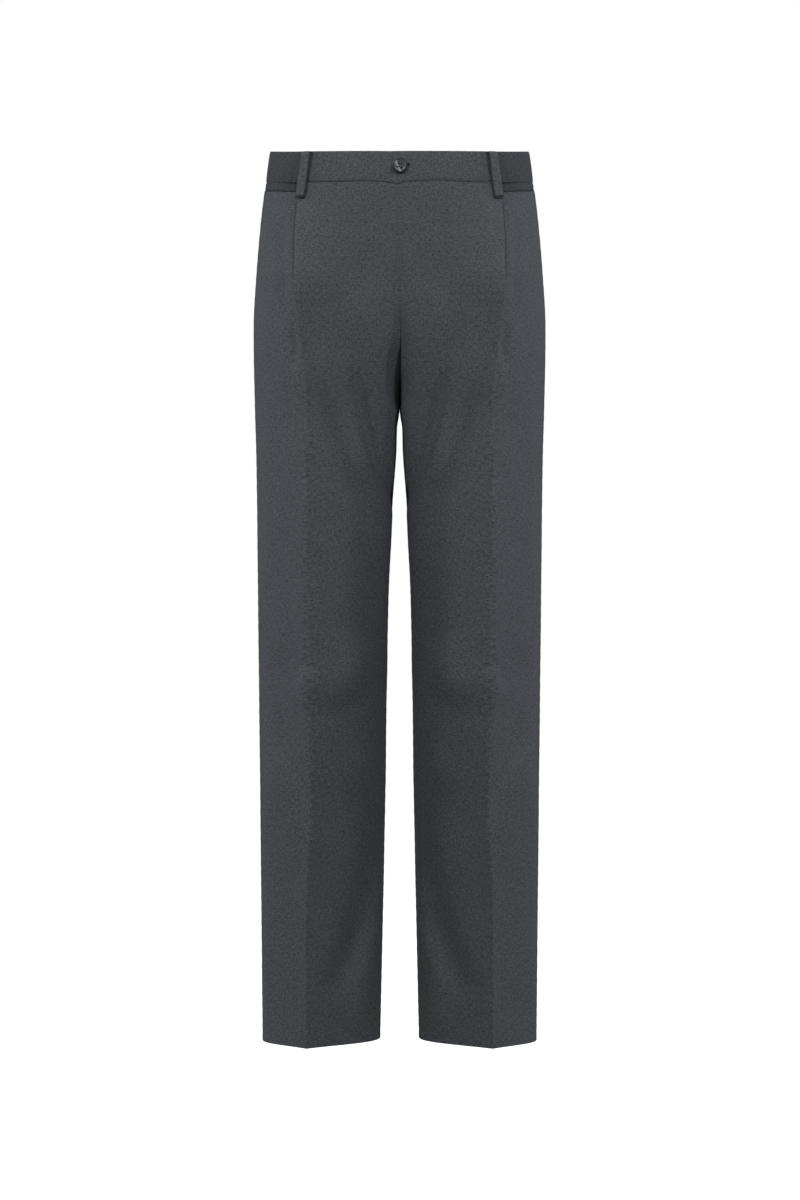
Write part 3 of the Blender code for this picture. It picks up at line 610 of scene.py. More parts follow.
def pleat_path(level, edge):
    """Runs and insets of the reverse pleat: over its edge, back under it, and out again.

    Below the pleat the same stations lie flat, close together, on both sides of the crease.
    """
    pleat = PLEAT_TABLE.at(level)
    fold, overlap = pleat["fold"], pleat["overlap"]
    radius = (CLOTH + PLEAT_GAP) / 2
    arc = max(radius * fold / PLEAT_ARC_STEPS, LEAST_ARC_STEP)
    leg = max(overlap, LEAST_PLEAT_LEG)
    turn_steps = [fold * (step + 0.5) / PLEAT_ARC_STEPS for step in range(PLEAT_ARC_STEPS)]
    moves = [(leg / 2, 0.0)] * 2
    moves += [(arc, turn) for turn in turn_steps]
    moves += [(leg / 2, fold)] * 2
    moves += [(arc, turn) for turn in reversed(turn_steps)]
    moves += [(leg / 2, 0.0)] * 2
    runs, insets = [0.0], [0.0]
    for length, turn in moves:
        runs.append(runs[-1] + length * math.cos(turn))
        insets.append(insets[-1] + length * math.sin(turn))
    runs, insets = np.array(runs), np.array(insets)
    flat = 1 - smooth_step(fold / FLAT_PLEAT)
    to_edge = runs[2] * (1 - flat) + runs[-1] / 2 * flat
    return runs - to_edge + edge, insets


def crevice(runs, lines, levels):
    """The narrow gap along the outside of the pleat's edge, as depth straight back."""
    place, half, depth = CREVICE
    overlap = column([PLEAT_TABLE.at(level) for level in levels], "overlap")
    return depth * smooth_step(overlap / CREVICE_OPEN) * fade(runs - column(lines, "crease") - place, half)


def fly_edge(level, hand):
    """How far the centre front edge reaches, and how much of the fly's lap there is, from 0 to 1."""
    if level <= FLY_END:
        return SEAM_EDGE, 0.0
    closed = float(smooth_step((level - FLY_END) / FLY_CLOSES))
    if hand == LEFT:
        return SEAM_EDGE - FLY_LAP * closed, closed
    under = float(smooth_step((level - UNDERLAP_ENDS) / UNDERLAP_FADE))
    return SEAM_EDGE - (SEAM_EDGE + FLY_UNDERLAP) * under, closed


def sunk(runs, start, width, depth):
    """How far cloth lies in where it slopes down from a full width to its start."""
    return depth * (1 - smooth_step((runs - start) / width))


def wall_end(line):
    """Where the cloth between the legs ends and the front or back of the leg starts."""
    return max(line.wall, EDGE_END + WALL_LEAST)


def front_stations(level, hand):
    """The outline at a level, and the runs and insets of the front panel's columns on it."""
    line = Outline(level, FRONT)
    edge, closed = fly_edge(level, hand)
    lap = edge + (EDGE_END - edge) * np.linspace(0, 1, EDGE_COLUMNS)
    along_wall = np.linspace(EDGE_END, wall_end(line), WALL_COLUMNS + 1)[1:]
    pleat_runs, pleat_insets = pleat_path(level, line.crease)
    inner = eased(wall_end(line), pleat_runs[0], INNER_COLUMNS)
    beside = pleat_runs[-1] + np.array(BESIDE_PLEAT)
    end = line.length - SEAM_EDGE
    outer = np.concatenate([beside, eased(beside[-1], end, OUTER_COLUMNS - len(beside))])
    under = pleat_insets[-1] * (1 - smooth_step((outer - pleat_runs[-1]) / PLEAT_EASE))
    centre = np.concatenate([lap, along_wall, inner])
    centre_insets = 0 * centre
    if hand == RIGHT:
        centre_insets = sunk(centre, SEAM_EDGE, FLY_SLOPE, FLY_SINK) + sunk(centre, *FLY_UNDER)
    runs = np.concatenate([centre, pleat_runs, outer, [end]])
    insets = np.concatenate([closed * centre_insets, pleat_insets, under, [0.0]])
    return line, runs, insets


def pocket_mouth(runs, line):
    """How far the pocket's mouth lies below the band's seam."""
    start = line.crease + POCKET_START
    outside = np.clip((runs - start) / (line.length - start), 0, 1)
    return POCKET_DROP_FRONT + (POCKET_DROP_SIDE - POCKET_DROP_FRONT) * outside


def seam_level(x):
    """The level of the band's seam, which is pulled a little up and down beside the lap."""
    level = BAND_SEAM
    for row in SEAM_COURSE:
        place = dict(zip(SEAM_COLUMNS, np.array(row) * MM))
        level = level + place["rise"] * fade(x - place["x"], place["reach"])
    return level


def trimmed(points, levels, tops):
    """The grid with its upper rows drawn down or up so that each column starts at its own level."""
    result = points.copy()
    new_levels = np.broadcast_to(levels[:, None], points.shape[:2]).copy()
    upper = levels > SETTLED
    share = (levels[upper] - SETTLED) / (levels[0] - SETTLED)
    for number, top in enumerate(tops):
        wanted = SETTLED + share * (top - SETTLED)
        new_levels[upper, number] = wanted
        for axis in range(3):
            result[upper, number, axis] = np.interp(wanted, levels[::-1], points[::-1, number, axis])
    return result, new_levels


def forward(points):
    """0 at the sides and between the legs, and 1 on the front."""
    start, reach = FORWARD
    return smooth_step((-points[..., 1] - start) / reach)


def swayed(points, levels):
    """The front's centre moved aside where its seam doesn't run straight."""
    sway = column([CENTRE_TABLE.at(level) for level in levels], "sway")
    points[..., 0] += sway * fade(points[..., 0], SWAY_REACH) * forward(points)
    return points


def centre_depth(points, lines, centre, hand):
    """How far the cloth beside the centre lies in: a hollow on the right, fuller cloth on the left."""
    hollow, hollow_x, fill, ease = (column(centre, name) for name in ("hollow", "hollow_x", "fill", "ease"))
    x = points[..., 0] - np.array([line.points[0][0] for line in lines])[:, None]
    ease = ease * (1 - smooth_step(x / EASE_REACH))
    if hand == RIGHT:
        depth = hollow * (1 - smooth_step((x - hollow_x) / HOLLOW_EDGE + 0.5))
    else:
        away = smooth_step(x / SEAM_RETURN)
        depth = hollow * (1 - away) - fill * away * (1 - smooth_step(x / FILL_REACH))
    return (depth - ease) * forward(points)


def faded_at_seams(relief, runs, from_side):
    return relief * smooth_step(from_side / RELIEF_MARGIN) * smooth_step(runs / RELIEF_MARGIN)


def front_panel(hand):
    levels = spaced(GRID_TOP, HEM + CLOTH / 2, ROWS)
    heights = levels[:, None]
    lines, all_runs, all_insets = zip(*[front_stations(level, hand) for level in levels])
    runs, insets = np.stack(all_runs), np.stack(all_insets)
    x, _, z = np.moveaxis(on_lines(lines, runs), -1, 0)
    from_side = column(lines, "length") - runs
    relief = fold_relief(FRONT_FOLDS, x, z) + ripple_relief(x, z, 11)
    insets = insets - faded_at_seams(relief, runs, from_side)
    insets += seam_dip(from_side, heights) + SEAM_TUCK * fade(PANEL_TOP - heights, SEAM_TUCK_REACH)
    insets += smooth_step((CROTCH - heights) / CROTCH_FADE) * seam_dip(np.abs(runs), heights)
    if hand == RIGHT:
        reach, drop = LAP_TUCK_REACH
        insets += LAP_TUCK * fade(x - LAP_TUCK_X, reach) * fade(heights - PANEL_TOP, drop)
    centre = [CENTRE_TABLE.at(level) for level in levels]
    insets += column(centre, "groove") * fade(np.clip(runs - SEAM_EDGE, 0, None), GROOVE_REACH)
    points = on_lines(lines, runs, insets)
    points[..., 1] += centre_depth(points, lines, centre, hand) + crevice(runs, lines, levels)
    seam = seam_level(hand * x[0]) - SEAM_GAP - CLOTH / 2
    by_pocket = np.arange(len(runs[0])) > len(runs[0]) - OUTER_COLUMNS
    tops = np.where(by_pocket, PANEL_TOP - pocket_mouth(runs[0], lines[0]), seam)
    points, new_levels = trimmed(points, levels, tops)
    points = swayed(mirrored(points, hand), levels)
    thin = FLY_THIN * (1 - smooth_step((runs + FLY_LAP) / FLY_THIN_REACH))
    thin = thin * smooth_step((heights - FLY_END) / FLY_THIN_FADE)
    thickness = CLOTH - thin if hand == LEFT else CLOTH
    grain = np.stack([runs, new_levels], axis=-1)
    return cloth_piece(f"trouser_front_{side_name(hand)}", points, grain, thickness, FRONT * hand)


# ---- back panels

DART_X = 74.0 * MM
DART_ENDS = -122.0 * MM
DART_DEPTH = 1.1 * MM
DART_REACH = 2.2 * MM
DART_TAPER = 0.6
SEAT_SEAM = (-230.0 * MM, 40.0 * MM)  # the centre seam dips above this level, over this height
BACK_INNER_COLUMNS = 42
BACK_OUTER_COLUMNS = 40
BESIDE_CREASE = np.array([0.5, 1.2, 2.2]) * MM


def back_stations(level):
    """The outline at a level, and the runs of the back panel's columns on it."""
    line = Outline(level, BACK)
    crease, end = line.crease, line.length - SEAM_EDGE
    start = SEAM_EDGE - BACK_SEAM_PRESS * smooth_step((level - CROTCH) / BACK_PRESS_FADE)
    along_wall = np.linspace(start, wall_end(line), WALL_COLUMNS + 1)
    inner = eased(wall_end(line), crease - BESIDE_CREASE[-1], BACK_INNER_COLUMNS)
    outer = eased(crease + BESIDE_CREASE[-1], end, BACK_OUTER_COLUMNS)
    runs = [along_wall, inner, crease - BESIDE_CREASE[::-1], [crease], crease + BESIDE_CREASE, outer, [end]]
    return line, np.concatenate(runs)


def back_panel(hand):
    levels = spaced(GRID_TOP, HEM + CLOTH / 2, ROWS)
    heights = levels[:, None]
    lines, all_runs = zip(*[back_stations(level) for level in levels])
    runs = np.stack(all_runs)
    x, _, z = np.moveaxis(on_lines(lines, runs), -1, 0)
    from_side = column(lines, "length") - runs
    relief = fold_relief(BACK_FOLDS, x, z) + ripple_relief(x, z, 23)
    insets = seam_dip(from_side, heights) - faded_at_seams(relief, runs, from_side)
    seat_level, seat_fade = SEAT_SEAM
    seamed = smooth_step((heights - seat_level) / seat_fade) + smooth_step((CROTCH - heights) / CROTCH_FADE)
    insets += seamed * seam_dip(np.abs(runs), heights)
    dart = smooth_step((heights - DART_ENDS) / (PANEL_TOP - DART_ENDS)) ** DART_TAPER
    insets += DART_DEPTH * dart * fade(x - DART_X, DART_REACH)
    tops = np.full(len(runs[0]), PANEL_TOP - CLOTH / 2 + BACK_TOP_PRESS)
    points, new_levels = trimmed(on_lines(lines, runs, insets), levels, tops)
    grain = np.stack([runs, new_levels], axis=-1)
    return cloth_piece(f"trouser_back_{side_name(hand)}", mirrored(points, hand), grain, CLOTH, BACK * hand)


# ---- pocket facings, waistband, belt loops

BAND_ROWS = 13
BAND_COLUMNS = 34
BAND_EDGE = BAND_CLOTH / 2
BAND_PUFF = 0.35 * MM
BAND_ROLL = 0.7 * MM  # how far the band's lower edge rolls in, and its upper edge as a share of that
BAND_ROLL_TOP = 0.4
BAND_ROLL_REACH = 1.5 * MM
BAND_TOP_DROP = 1.5 * MM  # the band dips a little at the front
BAND_DROP_REACH = 90.0 * MM
LAP_COLUMNS = 16
LAP_THIN = 1.6 * MM
LAP_SINK = 0.9 * MM
LAP_PART = 12.0 * MM  # the band has more columns up to here from the centre
FACING_ROWS = 26


def pocket_facing(hand):
    """The strip between the band and the pocket's mouth. It curves in where it goes into the pocket."""
    points, grain = [], []
    for level in spaced(PANEL_TOP, BAND_SEAM - POCKET_DEPTH, FACING_ROWS):
        line, runs, insets = front_stations(level, hand)
        runs, insets = runs[-OUTER_COLUMNS - 1 :], insets[-OUTER_COLUMNS - 1 :]
        below = PANEL_TOP - level - pocket_mouth(runs, line) + POCKET_CURVE
        tuck = seam_dip(line.length - runs, level) + POCKET_HOLLOW * smooth_step(below / POCKET_CURVE)
        place = line.place(runs, insets + LAYER + tuck)
        place[:, 1] += crevice(runs, [line], [level])[0]
        points.append(place)
        grain.append(grain_row(runs, level))
    name = f"pocket_facing_cloth_{side_name(hand)}"
    return cloth_piece(name, mirrored(np.stack(points), hand), np.stack(grain), CLOTH, FRONT * hand)


def joint_run(line):
    """Where the front band ends and the side band starts, behind the front belt loop."""
    x = JOINT_TOP_X + (JOINT_BOTTOM_X - JOINT_TOP_X) * line.level / LOOP_BOTTOM
    return line.run_at_x(x) + BAND_EDGE


def band_levels():
    return spaced(-BAND_EDGE, BAND_SEAM + BAND_EDGE, BAND_ROWS)


def band_shape(level):
    """How far the band's face lies inside the surface: it is padded out, with its long edges rolled in."""
    share = min(1.0, max(0.0, level / BAND_SEAM))
    bottom = fade(level - BAND_SEAM - BAND_EDGE, BAND_ROLL_REACH)
    top = BAND_ROLL_TOP * fade(level + BAND_EDGE, BAND_ROLL_REACH)
    return BAND_ROLL * (bottom + top) - BAND_PUFF * math.sin(math.pi * share)


def band_settled(points, level):
    """The top edge's slight dip at the front."""
    share = min(1.0, max(0.0, 1 - level / BAND_SEAM))
    points[:, 2] -= BAND_TOP_DROP * share * smooth_step(-points[:, 1] / BAND_DROP_REACH)
    return points


def front_band(hand):
    """From the middle of the front belt loop to the centre, and past it as lap or underlap."""
    start = BAND_EDGE - (BAND_LAP if hand == LEFT else BAND_UNDERLAP)
    turn_start, turn_width, turn_depth = JOINT_TURN_IN
    points, grain, thickness = [], [], []
    for level in band_levels():
        line = Outline(level, FRONT)
        share = level / BAND_SEAM
        end = joint_run(line)
        lap, rest = spaced(start, LAP_PART, LAP_COLUMNS), spaced(LAP_PART, end, BAND_COLUMNS)
        runs = np.concatenate([lap, rest[1:]])
        if hand == LEFT:
            near = 1 - smooth_step((runs - start) / BAND_LAP)
            inset = band_shape(level) + (LAP_SINK - LAP_THIN / 2) * near
            thick = BAND_CLOTH - LAP_THIN * near
        else:
            inset = band_shape(level) + sunk(runs, *BAND_SLOPE) + sunk(runs, *BAND_UNDER)
            thick = BAND_CLOTH + 0 * runs
        place = line.place(runs, inset)
        place[:, 1] += turn_depth * (1 - smooth_step((end - runs - turn_start) / turn_width))
        place[:, 2] += (seam_level(hand * place[:, 0]) - BAND_SEAM) * share
        place[:, 2] += (BAND_CLOTH - thick) * (0.5 - share)
        points.append(band_settled(place, level))
        grain.append(grain_row(runs, level))
        thickness.append(thick)
    points, grain = mirrored(np.stack(points), hand), np.stack(grain)
    name = f"waistband_front_cloth_{side_name(hand)}"
    band = cloth_piece(name, points, grain, np.stack(thickness), FRONT * hand)
    if hand == LEFT:
        cut_away(band, [buttonhole_cutter()])
    return band


def side_band_inset(share):
    """The side part of the band lies a little under the surface. The share is from back to side."""
    return SIDE_BAND_INSET * smooth_step(2 * share - 1)


def back_band(hand):
    """From the middle of the front belt loop, round the side, to the centre back."""
    points, grain = [], []
    for level in band_levels():
        front, back = Outline(level, FRONT), Outline(level, BACK)
        to_side = spaced(joint_run(front), front.length, BAND_COLUMNS)
        to_centre = spaced(back.length, BAND_EDGE, 2 * BAND_COLUMNS)[1:]
        shape = band_shape(level)
        one = front.place(to_side, SIDE_BAND_INSET + shape)
        other = back.place(to_centre, side_band_inset(to_centre / back.length) + shape)
        points.append(band_settled(np.vstack([one, other]), level))
        around = np.concatenate([to_side, front.length + back.length - to_centre])
        grain.append(grain_row(around, level))
    name = f"waistband_back_cloth_{side_name(hand)}"
    return cloth_piece(name, mirrored(np.stack(points), hand), np.stack(grain), BAND_CLOTH, FRONT * hand)


BEND_REACH = 3.0 * MM  # a bend in a belt loop is rounded from this near its corner
BEND_SHARE = 0.45
STRAP_STEP = 1.0 * MM
STRAP_COLUMNS = np.array([-1, -0.93, -0.8, -0.6, -0.3, 0, 0.3, 0.6, 0.8, 0.93, 1])
STRAP_EDGE_THIN = 0.35
STRAP_GRAIN_X = 0.5  # the loops are cut from another place of the cloth


def smooth_path(corners, step):
    """A path through corners, with each bend rounded."""
    corners = np.array(corners)
    path = [corners[0]]
    for before, corner, after in zip(corners[:-2], corners[1:-1], corners[2:]):
        near = BEND_SHARE * min(np.linalg.norm(corner - before), np.linalg.norm(after - corner))
        near = min(near, BEND_REACH)
        start = corner + unit(before - corner) * near
        end = corner + unit(after - corner) * near
        for t in np.linspace(0, 1, 6):
            path.append((1 - t) ** 2 * start + 2 * t * (1 - t) * corner + t * t * end)
    path = np.array([*path, corners[-1]])
    lengths = np.concatenate([[0], np.cumsum(np.linalg.norm(np.diff(path, axis=0), axis=1))])
    at = np.linspace(0, lengths[-1], max(2, round(lengths[-1] / step)))
    return np.stack([np.interp(at, lengths, path[:, axis]) for axis in range(3)], axis=-1)


def loop_slack(facing):
    """The front loops stand off the band, and the others lie closer to it."""
    return 1.0 if facing == FRONT else LOOP_SLACK_BEHIND


def belt_loop(name, facing, hand, run_of, band_inset):
    """A folded strap: its foot is sewn to the panel and its top is turned in over the band."""
    band_face = BAND_CLOTH / 2 - band_inset + SEAM_GAP
    on_panel = CLOTH / 2 + SEAM_GAP + LOOP_CLOTH / 2
    on_band = BAND_CLOTH / 2 + LOOP_CLOTH / 2
    top = -LOOP_DROP - LOOP_CLOTH / 2
    slack = loop_slack(facing)
    route = (
        (LOOP_BOTTOM + LOOP_FOOT / 5, on_panel),
        (LOOP_BOTTOM, on_panel + LOOP_FOOT_STAND * slack),
        (LOOP_BOTTOM + 2.5 * LOOP_FOOT, on_panel + LOOP_FOOT_STAND * slack),
        (BAND_SEAM, on_band + LOOP_ROOM * slack),
        (BAND_SEAM / 2, on_band + LOOP_ROOM_MIDDLE * slack),
        (top, on_band + LOOP_ROOM_TOP * slack),
        (top, band_face),
    )
    corners = []
    for level, out in route:
        line = Outline(level, facing)
        corners.append(line.place(run_of(line), -out))
    path = smooth_path(corners, STRAP_STEP)
    middle = Outline(BAND_SEAM, facing)
    run = run_of(middle)
    across = unit(middle.place(run + 1 * MM) - middle.place(run - 1 * MM))
    offsets = STRAP_COLUMNS * (LOOP_WIDTH - LOOP_CLOTH) / 2
    points = path[::-1, None, :] + across * offsets[None, :, None]
    along = np.concatenate([[0], np.cumsum(np.linalg.norm(np.diff(path, axis=0), axis=1))])
    grain = np.stack(np.broadcast_arrays(offsets[None, :] + STRAP_GRAIN_X, -along[:, None]), axis=-1)
    thickness = LOOP_CLOTH * (1 - STRAP_EDGE_THIN * np.abs(STRAP_COLUMNS) ** 6)[None, :]
    return cloth_piece(name, mirrored(points, hand), grain, thickness, facing * hand)


def loop_x(level):
    return LOOP_TOP_X + (LOOP_BOTTOM_X - LOOP_TOP_X) * level / LOOP_BOTTOM


def loop_places():
    """Each belt loop's name, half, hand, place on an outline and how deep the band lies there."""
    inset = side_band_inset(1 - SIDE_LOOP_PART)
    places = []
    for hand in (LEFT, RIGHT):
        side = side_name(hand)
        places.append((f"front_{side}", FRONT, hand, lambda line: line.run_at_x(loop_x(line.level)), 0.0))
        places.append((f"side_{side}", BACK, hand, lambda line: line.length * (1 - SIDE_LOOP_PART), inset))
    places.append(("back", BACK, LEFT, lambda line: 1e-6, 0.0))
    return places


# ---- button, buttonhole and stitches

# From the middle of its back, round its edge, to the middle of its face: radius and height.
BUTTON_PROFILE = (
    (0.02, 0.2), (4.4, 0.0), (6.8, 0.1), (7.8, 0.5), (8.4, 1.1), (8.4, 1.5), (8.1, 1.9), (7.4, 2.4),
    (6.7, 2.6), (6.1, 2.5), (5.6, 2.15), (5.1, 1.85), (4.4, 1.75), (0.02, 1.7)
)
BUTTON_DISH = 1.65 * MM  # the height of its face round the holes
FORWARD_WAY = np.array([0.0, -1.0, 0.0])
CUT_DEPTH = (-4.0 * MM, 6.0 * MM)
HOLE_SIDES = 20
EYE_SIDES = 28
THREAD = 0.28 * MM  # radius
THREAD_SIDES = 6
STITCH_RISE = 0.3 * MM
TACK_STITCHES = 11
TACK_WIDTH = LOOP_WIDTH - 2.2 * MM
TACK_HEIGHT = 1.9 * MM
TACK_LEAN = 0.3 * MM
TACK_THREAD = 1.5 * THREAD
TACK_LEVEL = LOOP_BOTTOM + 0.6 * LOOP_FOOT
EYE_STITCHES = 16
EYE_TURN = 2.6  # how far round the eye the stitches go, both ways
SLIT_STITCHES = 22
SLIT_LEAN = 0.1 * MM
BITE = 1.0 * MM  # the length of a buttonhole stitch
BUTTON_THREAD = 0.6 * THREAD
BUTTON_THREADS = (-0.16 * MM, 0.16 * MM)
BUTTON_THREAD_RISE = 0.35 * MM


def turned(name, profile, centre, sides):
    """A profile of radii and heights turned about an axis that points to the front."""
    turns = np.linspace(0, math.tau, sides, endpoint=False)
    radius, height = profile.T[..., None]
    rings = np.stack([radius * np.cos(turns), 0 * turns - height, radius * np.sin(turns)], axis=-1)
    return mesh_piece(name, (centre + rings).reshape(-1, 3), tube_faces(len(profile), sides))


def cut_away(piece, cutters):
    """Takes the cutters' shapes out of the piece."""
    for cutter in cutters:
        modifier = piece.modifiers.new("cut", "BOOLEAN")
        modifier.operation = "DIFFERENCE"
        modifier.solver = "EXACT"
        modifier.object = cutter
    bpy.context.view_layer.update()
    result = bpy.data.meshes.new_from_object(piece.evaluated_get(bpy.context.evaluated_depsgraph_get()))
    piece.modifiers.clear()
    piece.data = result
    for cutter in cutters:
        bpy.data.objects.remove(cutter)


def button_seat():
    return Outline(BUTTON_LEVEL, FRONT).place(BUTTON_X, -(BAND_CLOTH / 2 + BUTTON_STAND))


def button_holes():
    """The places of the four sewing holes from the button's middle."""
    turns = BUTTON_TURN + math.pi / 4 + np.arange(4) * math.tau / 4
    return [BUTTON_HOLE_SPREAD * np.array([math.cos(turn), 0.0, math.sin(turn)]) for turn in turns]


def waist_button():
    seat = button_seat()
    button = turned("horn_button", np.array(BUTTON_PROFILE) * MM, seat, BUTTON_SIDES)
    hole = np.array([(BUTTON_HOLE_RADIUS, depth) for depth in CUT_DEPTH])
    cut_away(button, [turned("hole", hole, seat + place, HOLE_SIDES) for place in button_holes()])
    mesh = button.data
    places = np.zeros(len(mesh.vertices) * 3)
    mesh.vertices.foreach_get("co", places)
    lay_uv(mesh, "Face", (places.reshape(-1, 3) - seat)[:, [0, 2]])
    mesh.shade_smooth()
    mesh.set_sharp_from_angle(angle=math.radians(50))
    mesh.materials.clear()
    return button


def buttonhole_eye():
    return Outline(BUTTONHOLE_LEVEL, FRONT).place(BUTTONHOLE_EYE_X, -BAND_CLOTH / 2)


def buttonhole_cutter():
    """A keyhole: a slit under the button and a round eye that shows beside it."""
    join = math.asin(BUTTONHOLE_SLIT / BUTTONHOLE_EYE)
    turns = np.linspace(0, math.tau, EYE_SIDES, endpoint=False)
    ring = [turn for turn in turns if abs(turn - math.pi) > join * 1.2]
    outline = [(BUTTONHOLE_EYE * math.cos(turn), BUTTONHOLE_EYE * math.sin(turn)) for turn in ring]
    start = BUTTONHOLE_START - BUTTONHOLE_EYE_X
    after = sum(turn < math.pi for turn in ring)
    outline[after:after] = [(start, BUTTONHOLE_SLIT / 2), (start, -BUTTONHOLE_SLIT / 2)]
    places = [(x, -depth, z) for depth in reversed(CUT_DEPTH) for x, z in outline]
    return mesh_piece("keyhole", buttonhole_eye() + np.array(places), tube_faces(2, len(outline)))


def thread_tube(path, radius):
    """Points and faces of a thread along a path, with rounded ends."""
    path = np.array(path)
    along = unit(np.gradient(path, axis=0))
    side = unit(np.cross(along, np.where(np.abs(along[:, 2:]) > 0.9, [[1.0, 0, 0]], [[0, 0, 1.0]])))
    other = np.cross(along, side)
    turns = np.linspace(0, math.tau, THREAD_SIDES, endpoint=False)[None, :, None]
    widths = radius * np.sin(np.linspace(0.12, 0.88, len(path)) * math.pi)[:, None, None] ** 0.35
    rings = path[:, None, :] + widths * (side[:, None, :] * np.cos(turns) + other[:, None, :] * np.sin(turns))
    return rings.reshape(-1, 3), tube_faces(len(path), THREAD_SIDES)


def arch(start, end, out, height, steps=7):
    """A stitch's path: in at both ends and raised between them."""
    t = np.linspace(0, 1, steps)[:, None]
    rise = height * (4 * t * (1 - t)) ** 0.5
    return start + (end - start) * t + out * (rise - 0.25 * height)


def loop_tacks():
    """A bar of stitches across the foot of each belt loop."""
    tubes = []
    for _, facing, hand, run_of, _ in loop_places():
        line, above = Outline(TACK_LEVEL, facing), Outline(TACK_LEVEL + 1 * MM, facing)
        run = run_of(line)
        foot = line.place(run)
        out = unit(line.place(run, -1 * MM) - foot)
        up = unit(above.place(run_of(above)) - foot)
        across = unit(line.place(run + 1 * MM) - foot)
        face = CLOTH / 2 + SEAM_GAP + LOOP_FOOT_STAND * loop_slack(facing) + LOOP_CLOTH + 0.1 * MM
        for offset in np.linspace(-TACK_WIDTH / 2, TACK_WIDTH / 2, TACK_STITCHES):
            low = foot + out * face + across * offset - up * TACK_HEIGHT / 2
            high = low + across * TACK_LEAN + up * TACK_HEIGHT
            tubes.append(thread_tube(mirrored(arch(low, high, out, STITCH_RISE), hand), TACK_THREAD))
    return tubes


def buttonhole_stitches():
    """Short stitches round the eye and along both sides of the slit."""
    eye = buttonhole_eye() - FORWARD_WAY * 0.1 * MM
    tubes = []
    for turn in np.linspace(-EYE_TURN, EYE_TURN, EYE_STITCHES):
        ray = np.array([math.cos(turn), 0.0, math.sin(turn)])
        path = arch(eye + ray * BUTTONHOLE_EYE, eye + ray * (BUTTONHOLE_EYE + BITE), FORWARD_WAY, STITCH_RISE)
        tubes.append(thread_tube(path, THREAD))
    for x in np.linspace(BUTTONHOLE_START - BUTTONHOLE_EYE_X, -BUTTONHOLE_EYE, SLIT_STITCHES):
        for way in (1, -1):
            start = eye + np.array([x, 0.0, way * BUTTONHOLE_SLIT / 2])
            end = start + np.array([SLIT_LEAN, 0.0, way * BITE])
            tubes.append(thread_tube(arch(start, end, FORWARD_WAY, STITCH_RISE), THREAD))
    return tubes


def button_thread():
    """Two pairs of threads across the button's holes."""
    dish = button_seat() + FORWARD_WAY * BUTTON_DISH
    holes = button_holes()
    tubes = []
    for one, other in ((0, 1), (2, 3)):
        for aside in BUTTON_THREADS:
            middle = dish + np.array([0.0, 0.0, aside])
            path = arch(middle + holes[one], middle + holes[other], FORWARD_WAY, BUTTON_THREAD_RISE, steps=11)
            tubes.append(thread_tube(path, BUTTON_THREAD))
    return tubes


def stitches():
    """All the sewing that shows, as one piece."""
    places, faces, count = [], [], 0
    for points, tube in loop_tacks() + buttonhole_stitches() + button_thread():
        places.append(points)
        faces += [[index + count for index in face] for face in tube]
        count += len(points)
    thread = mesh_piece("sewing_thread", np.vstack(places), faces)
    thread.data.shade_smooth()
    return thread


# ---- materials

WOOL_DARK = (0.0246, 0.0255, 0.0277, 1.0)
WOOL_PALE = (0.0925, 0.0952, 0.1026, 1.0)
SIDE_PAINTED_SHADE = 0.64  # the side band and the strip above the pocket are the same wool painted darker: painted shade
EDGE_SHADE_POWER = 6.0  # painted shade: a thin darker outline where the cloth is seen edge-on, which real nap doesn't have
TWILL_SPACING = 1.1 * MM
RIB_SPACING = 2.6 * MM
POCKET_RIBS = 0.16
WOOL_FINISH = {
    "Roughness": 0.92,
    "Specular IOR Level": 0.06,
    "Sheen Weight": 0.04,
    "Sheen Roughness": 0.6,
    "Sheen Tint": (0.62, 0.68, 0.76, 1.0),
}
HORN_DARK = (0.038, 0.040, 0.043, 1.0)
HORN_PALE = (0.27, 0.28, 0.29, 1.0)
# the rim's colour is partly the horn's darker edge and partly painted shade for the shadow round the button
HORN_RIM_AND_SHADE = (0.002, 0.002, 0.0025, 1.0)
HORN_FINISH = {"Roughness": 0.42, "Specular IOR Level": 0.25, "Coat Weight": 0.1}
RIM_START = 6.7 * MM
RIM_BLEND = 0.4 * MM
STREAK_LEAN = 0.42
STREAK_X = 2.8 * MM
STREAK_WIDTH = 1.5 * MM
STREAK_WANDER = 3.4 * MM
THREAD_DARK = (0.018, 0.020, 0.024, 1.0)
THREAD_PALE = (0.050, 0.055, 0.063, 1.0)
THREAD_FINISH = {"Roughness": 0.7, "Specular IOR Level": 0.2}


def new_group(name, inputs, outputs):
    """An empty shader node group. Inputs are name, kind and value, outputs are name and kind."""
    group = bpy.data.node_groups.new(name, "ShaderNodeTree")
    for label, kind, value in inputs:
        socket = group.interface.new_socket(label, in_out="INPUT", socket_type=f"NodeSocket{kind}")
        if value is not None:
            socket.default_value = value
    for label, kind in outputs:
        group.interface.new_socket(label, in_out="OUTPUT", socket_type=f"NodeSocket{kind}")
    source, result = group.nodes.new("NodeGroupInput"), group.nodes.new("NodeGroupOutput")
    return Wiring(group), source.outputs, result.inputs


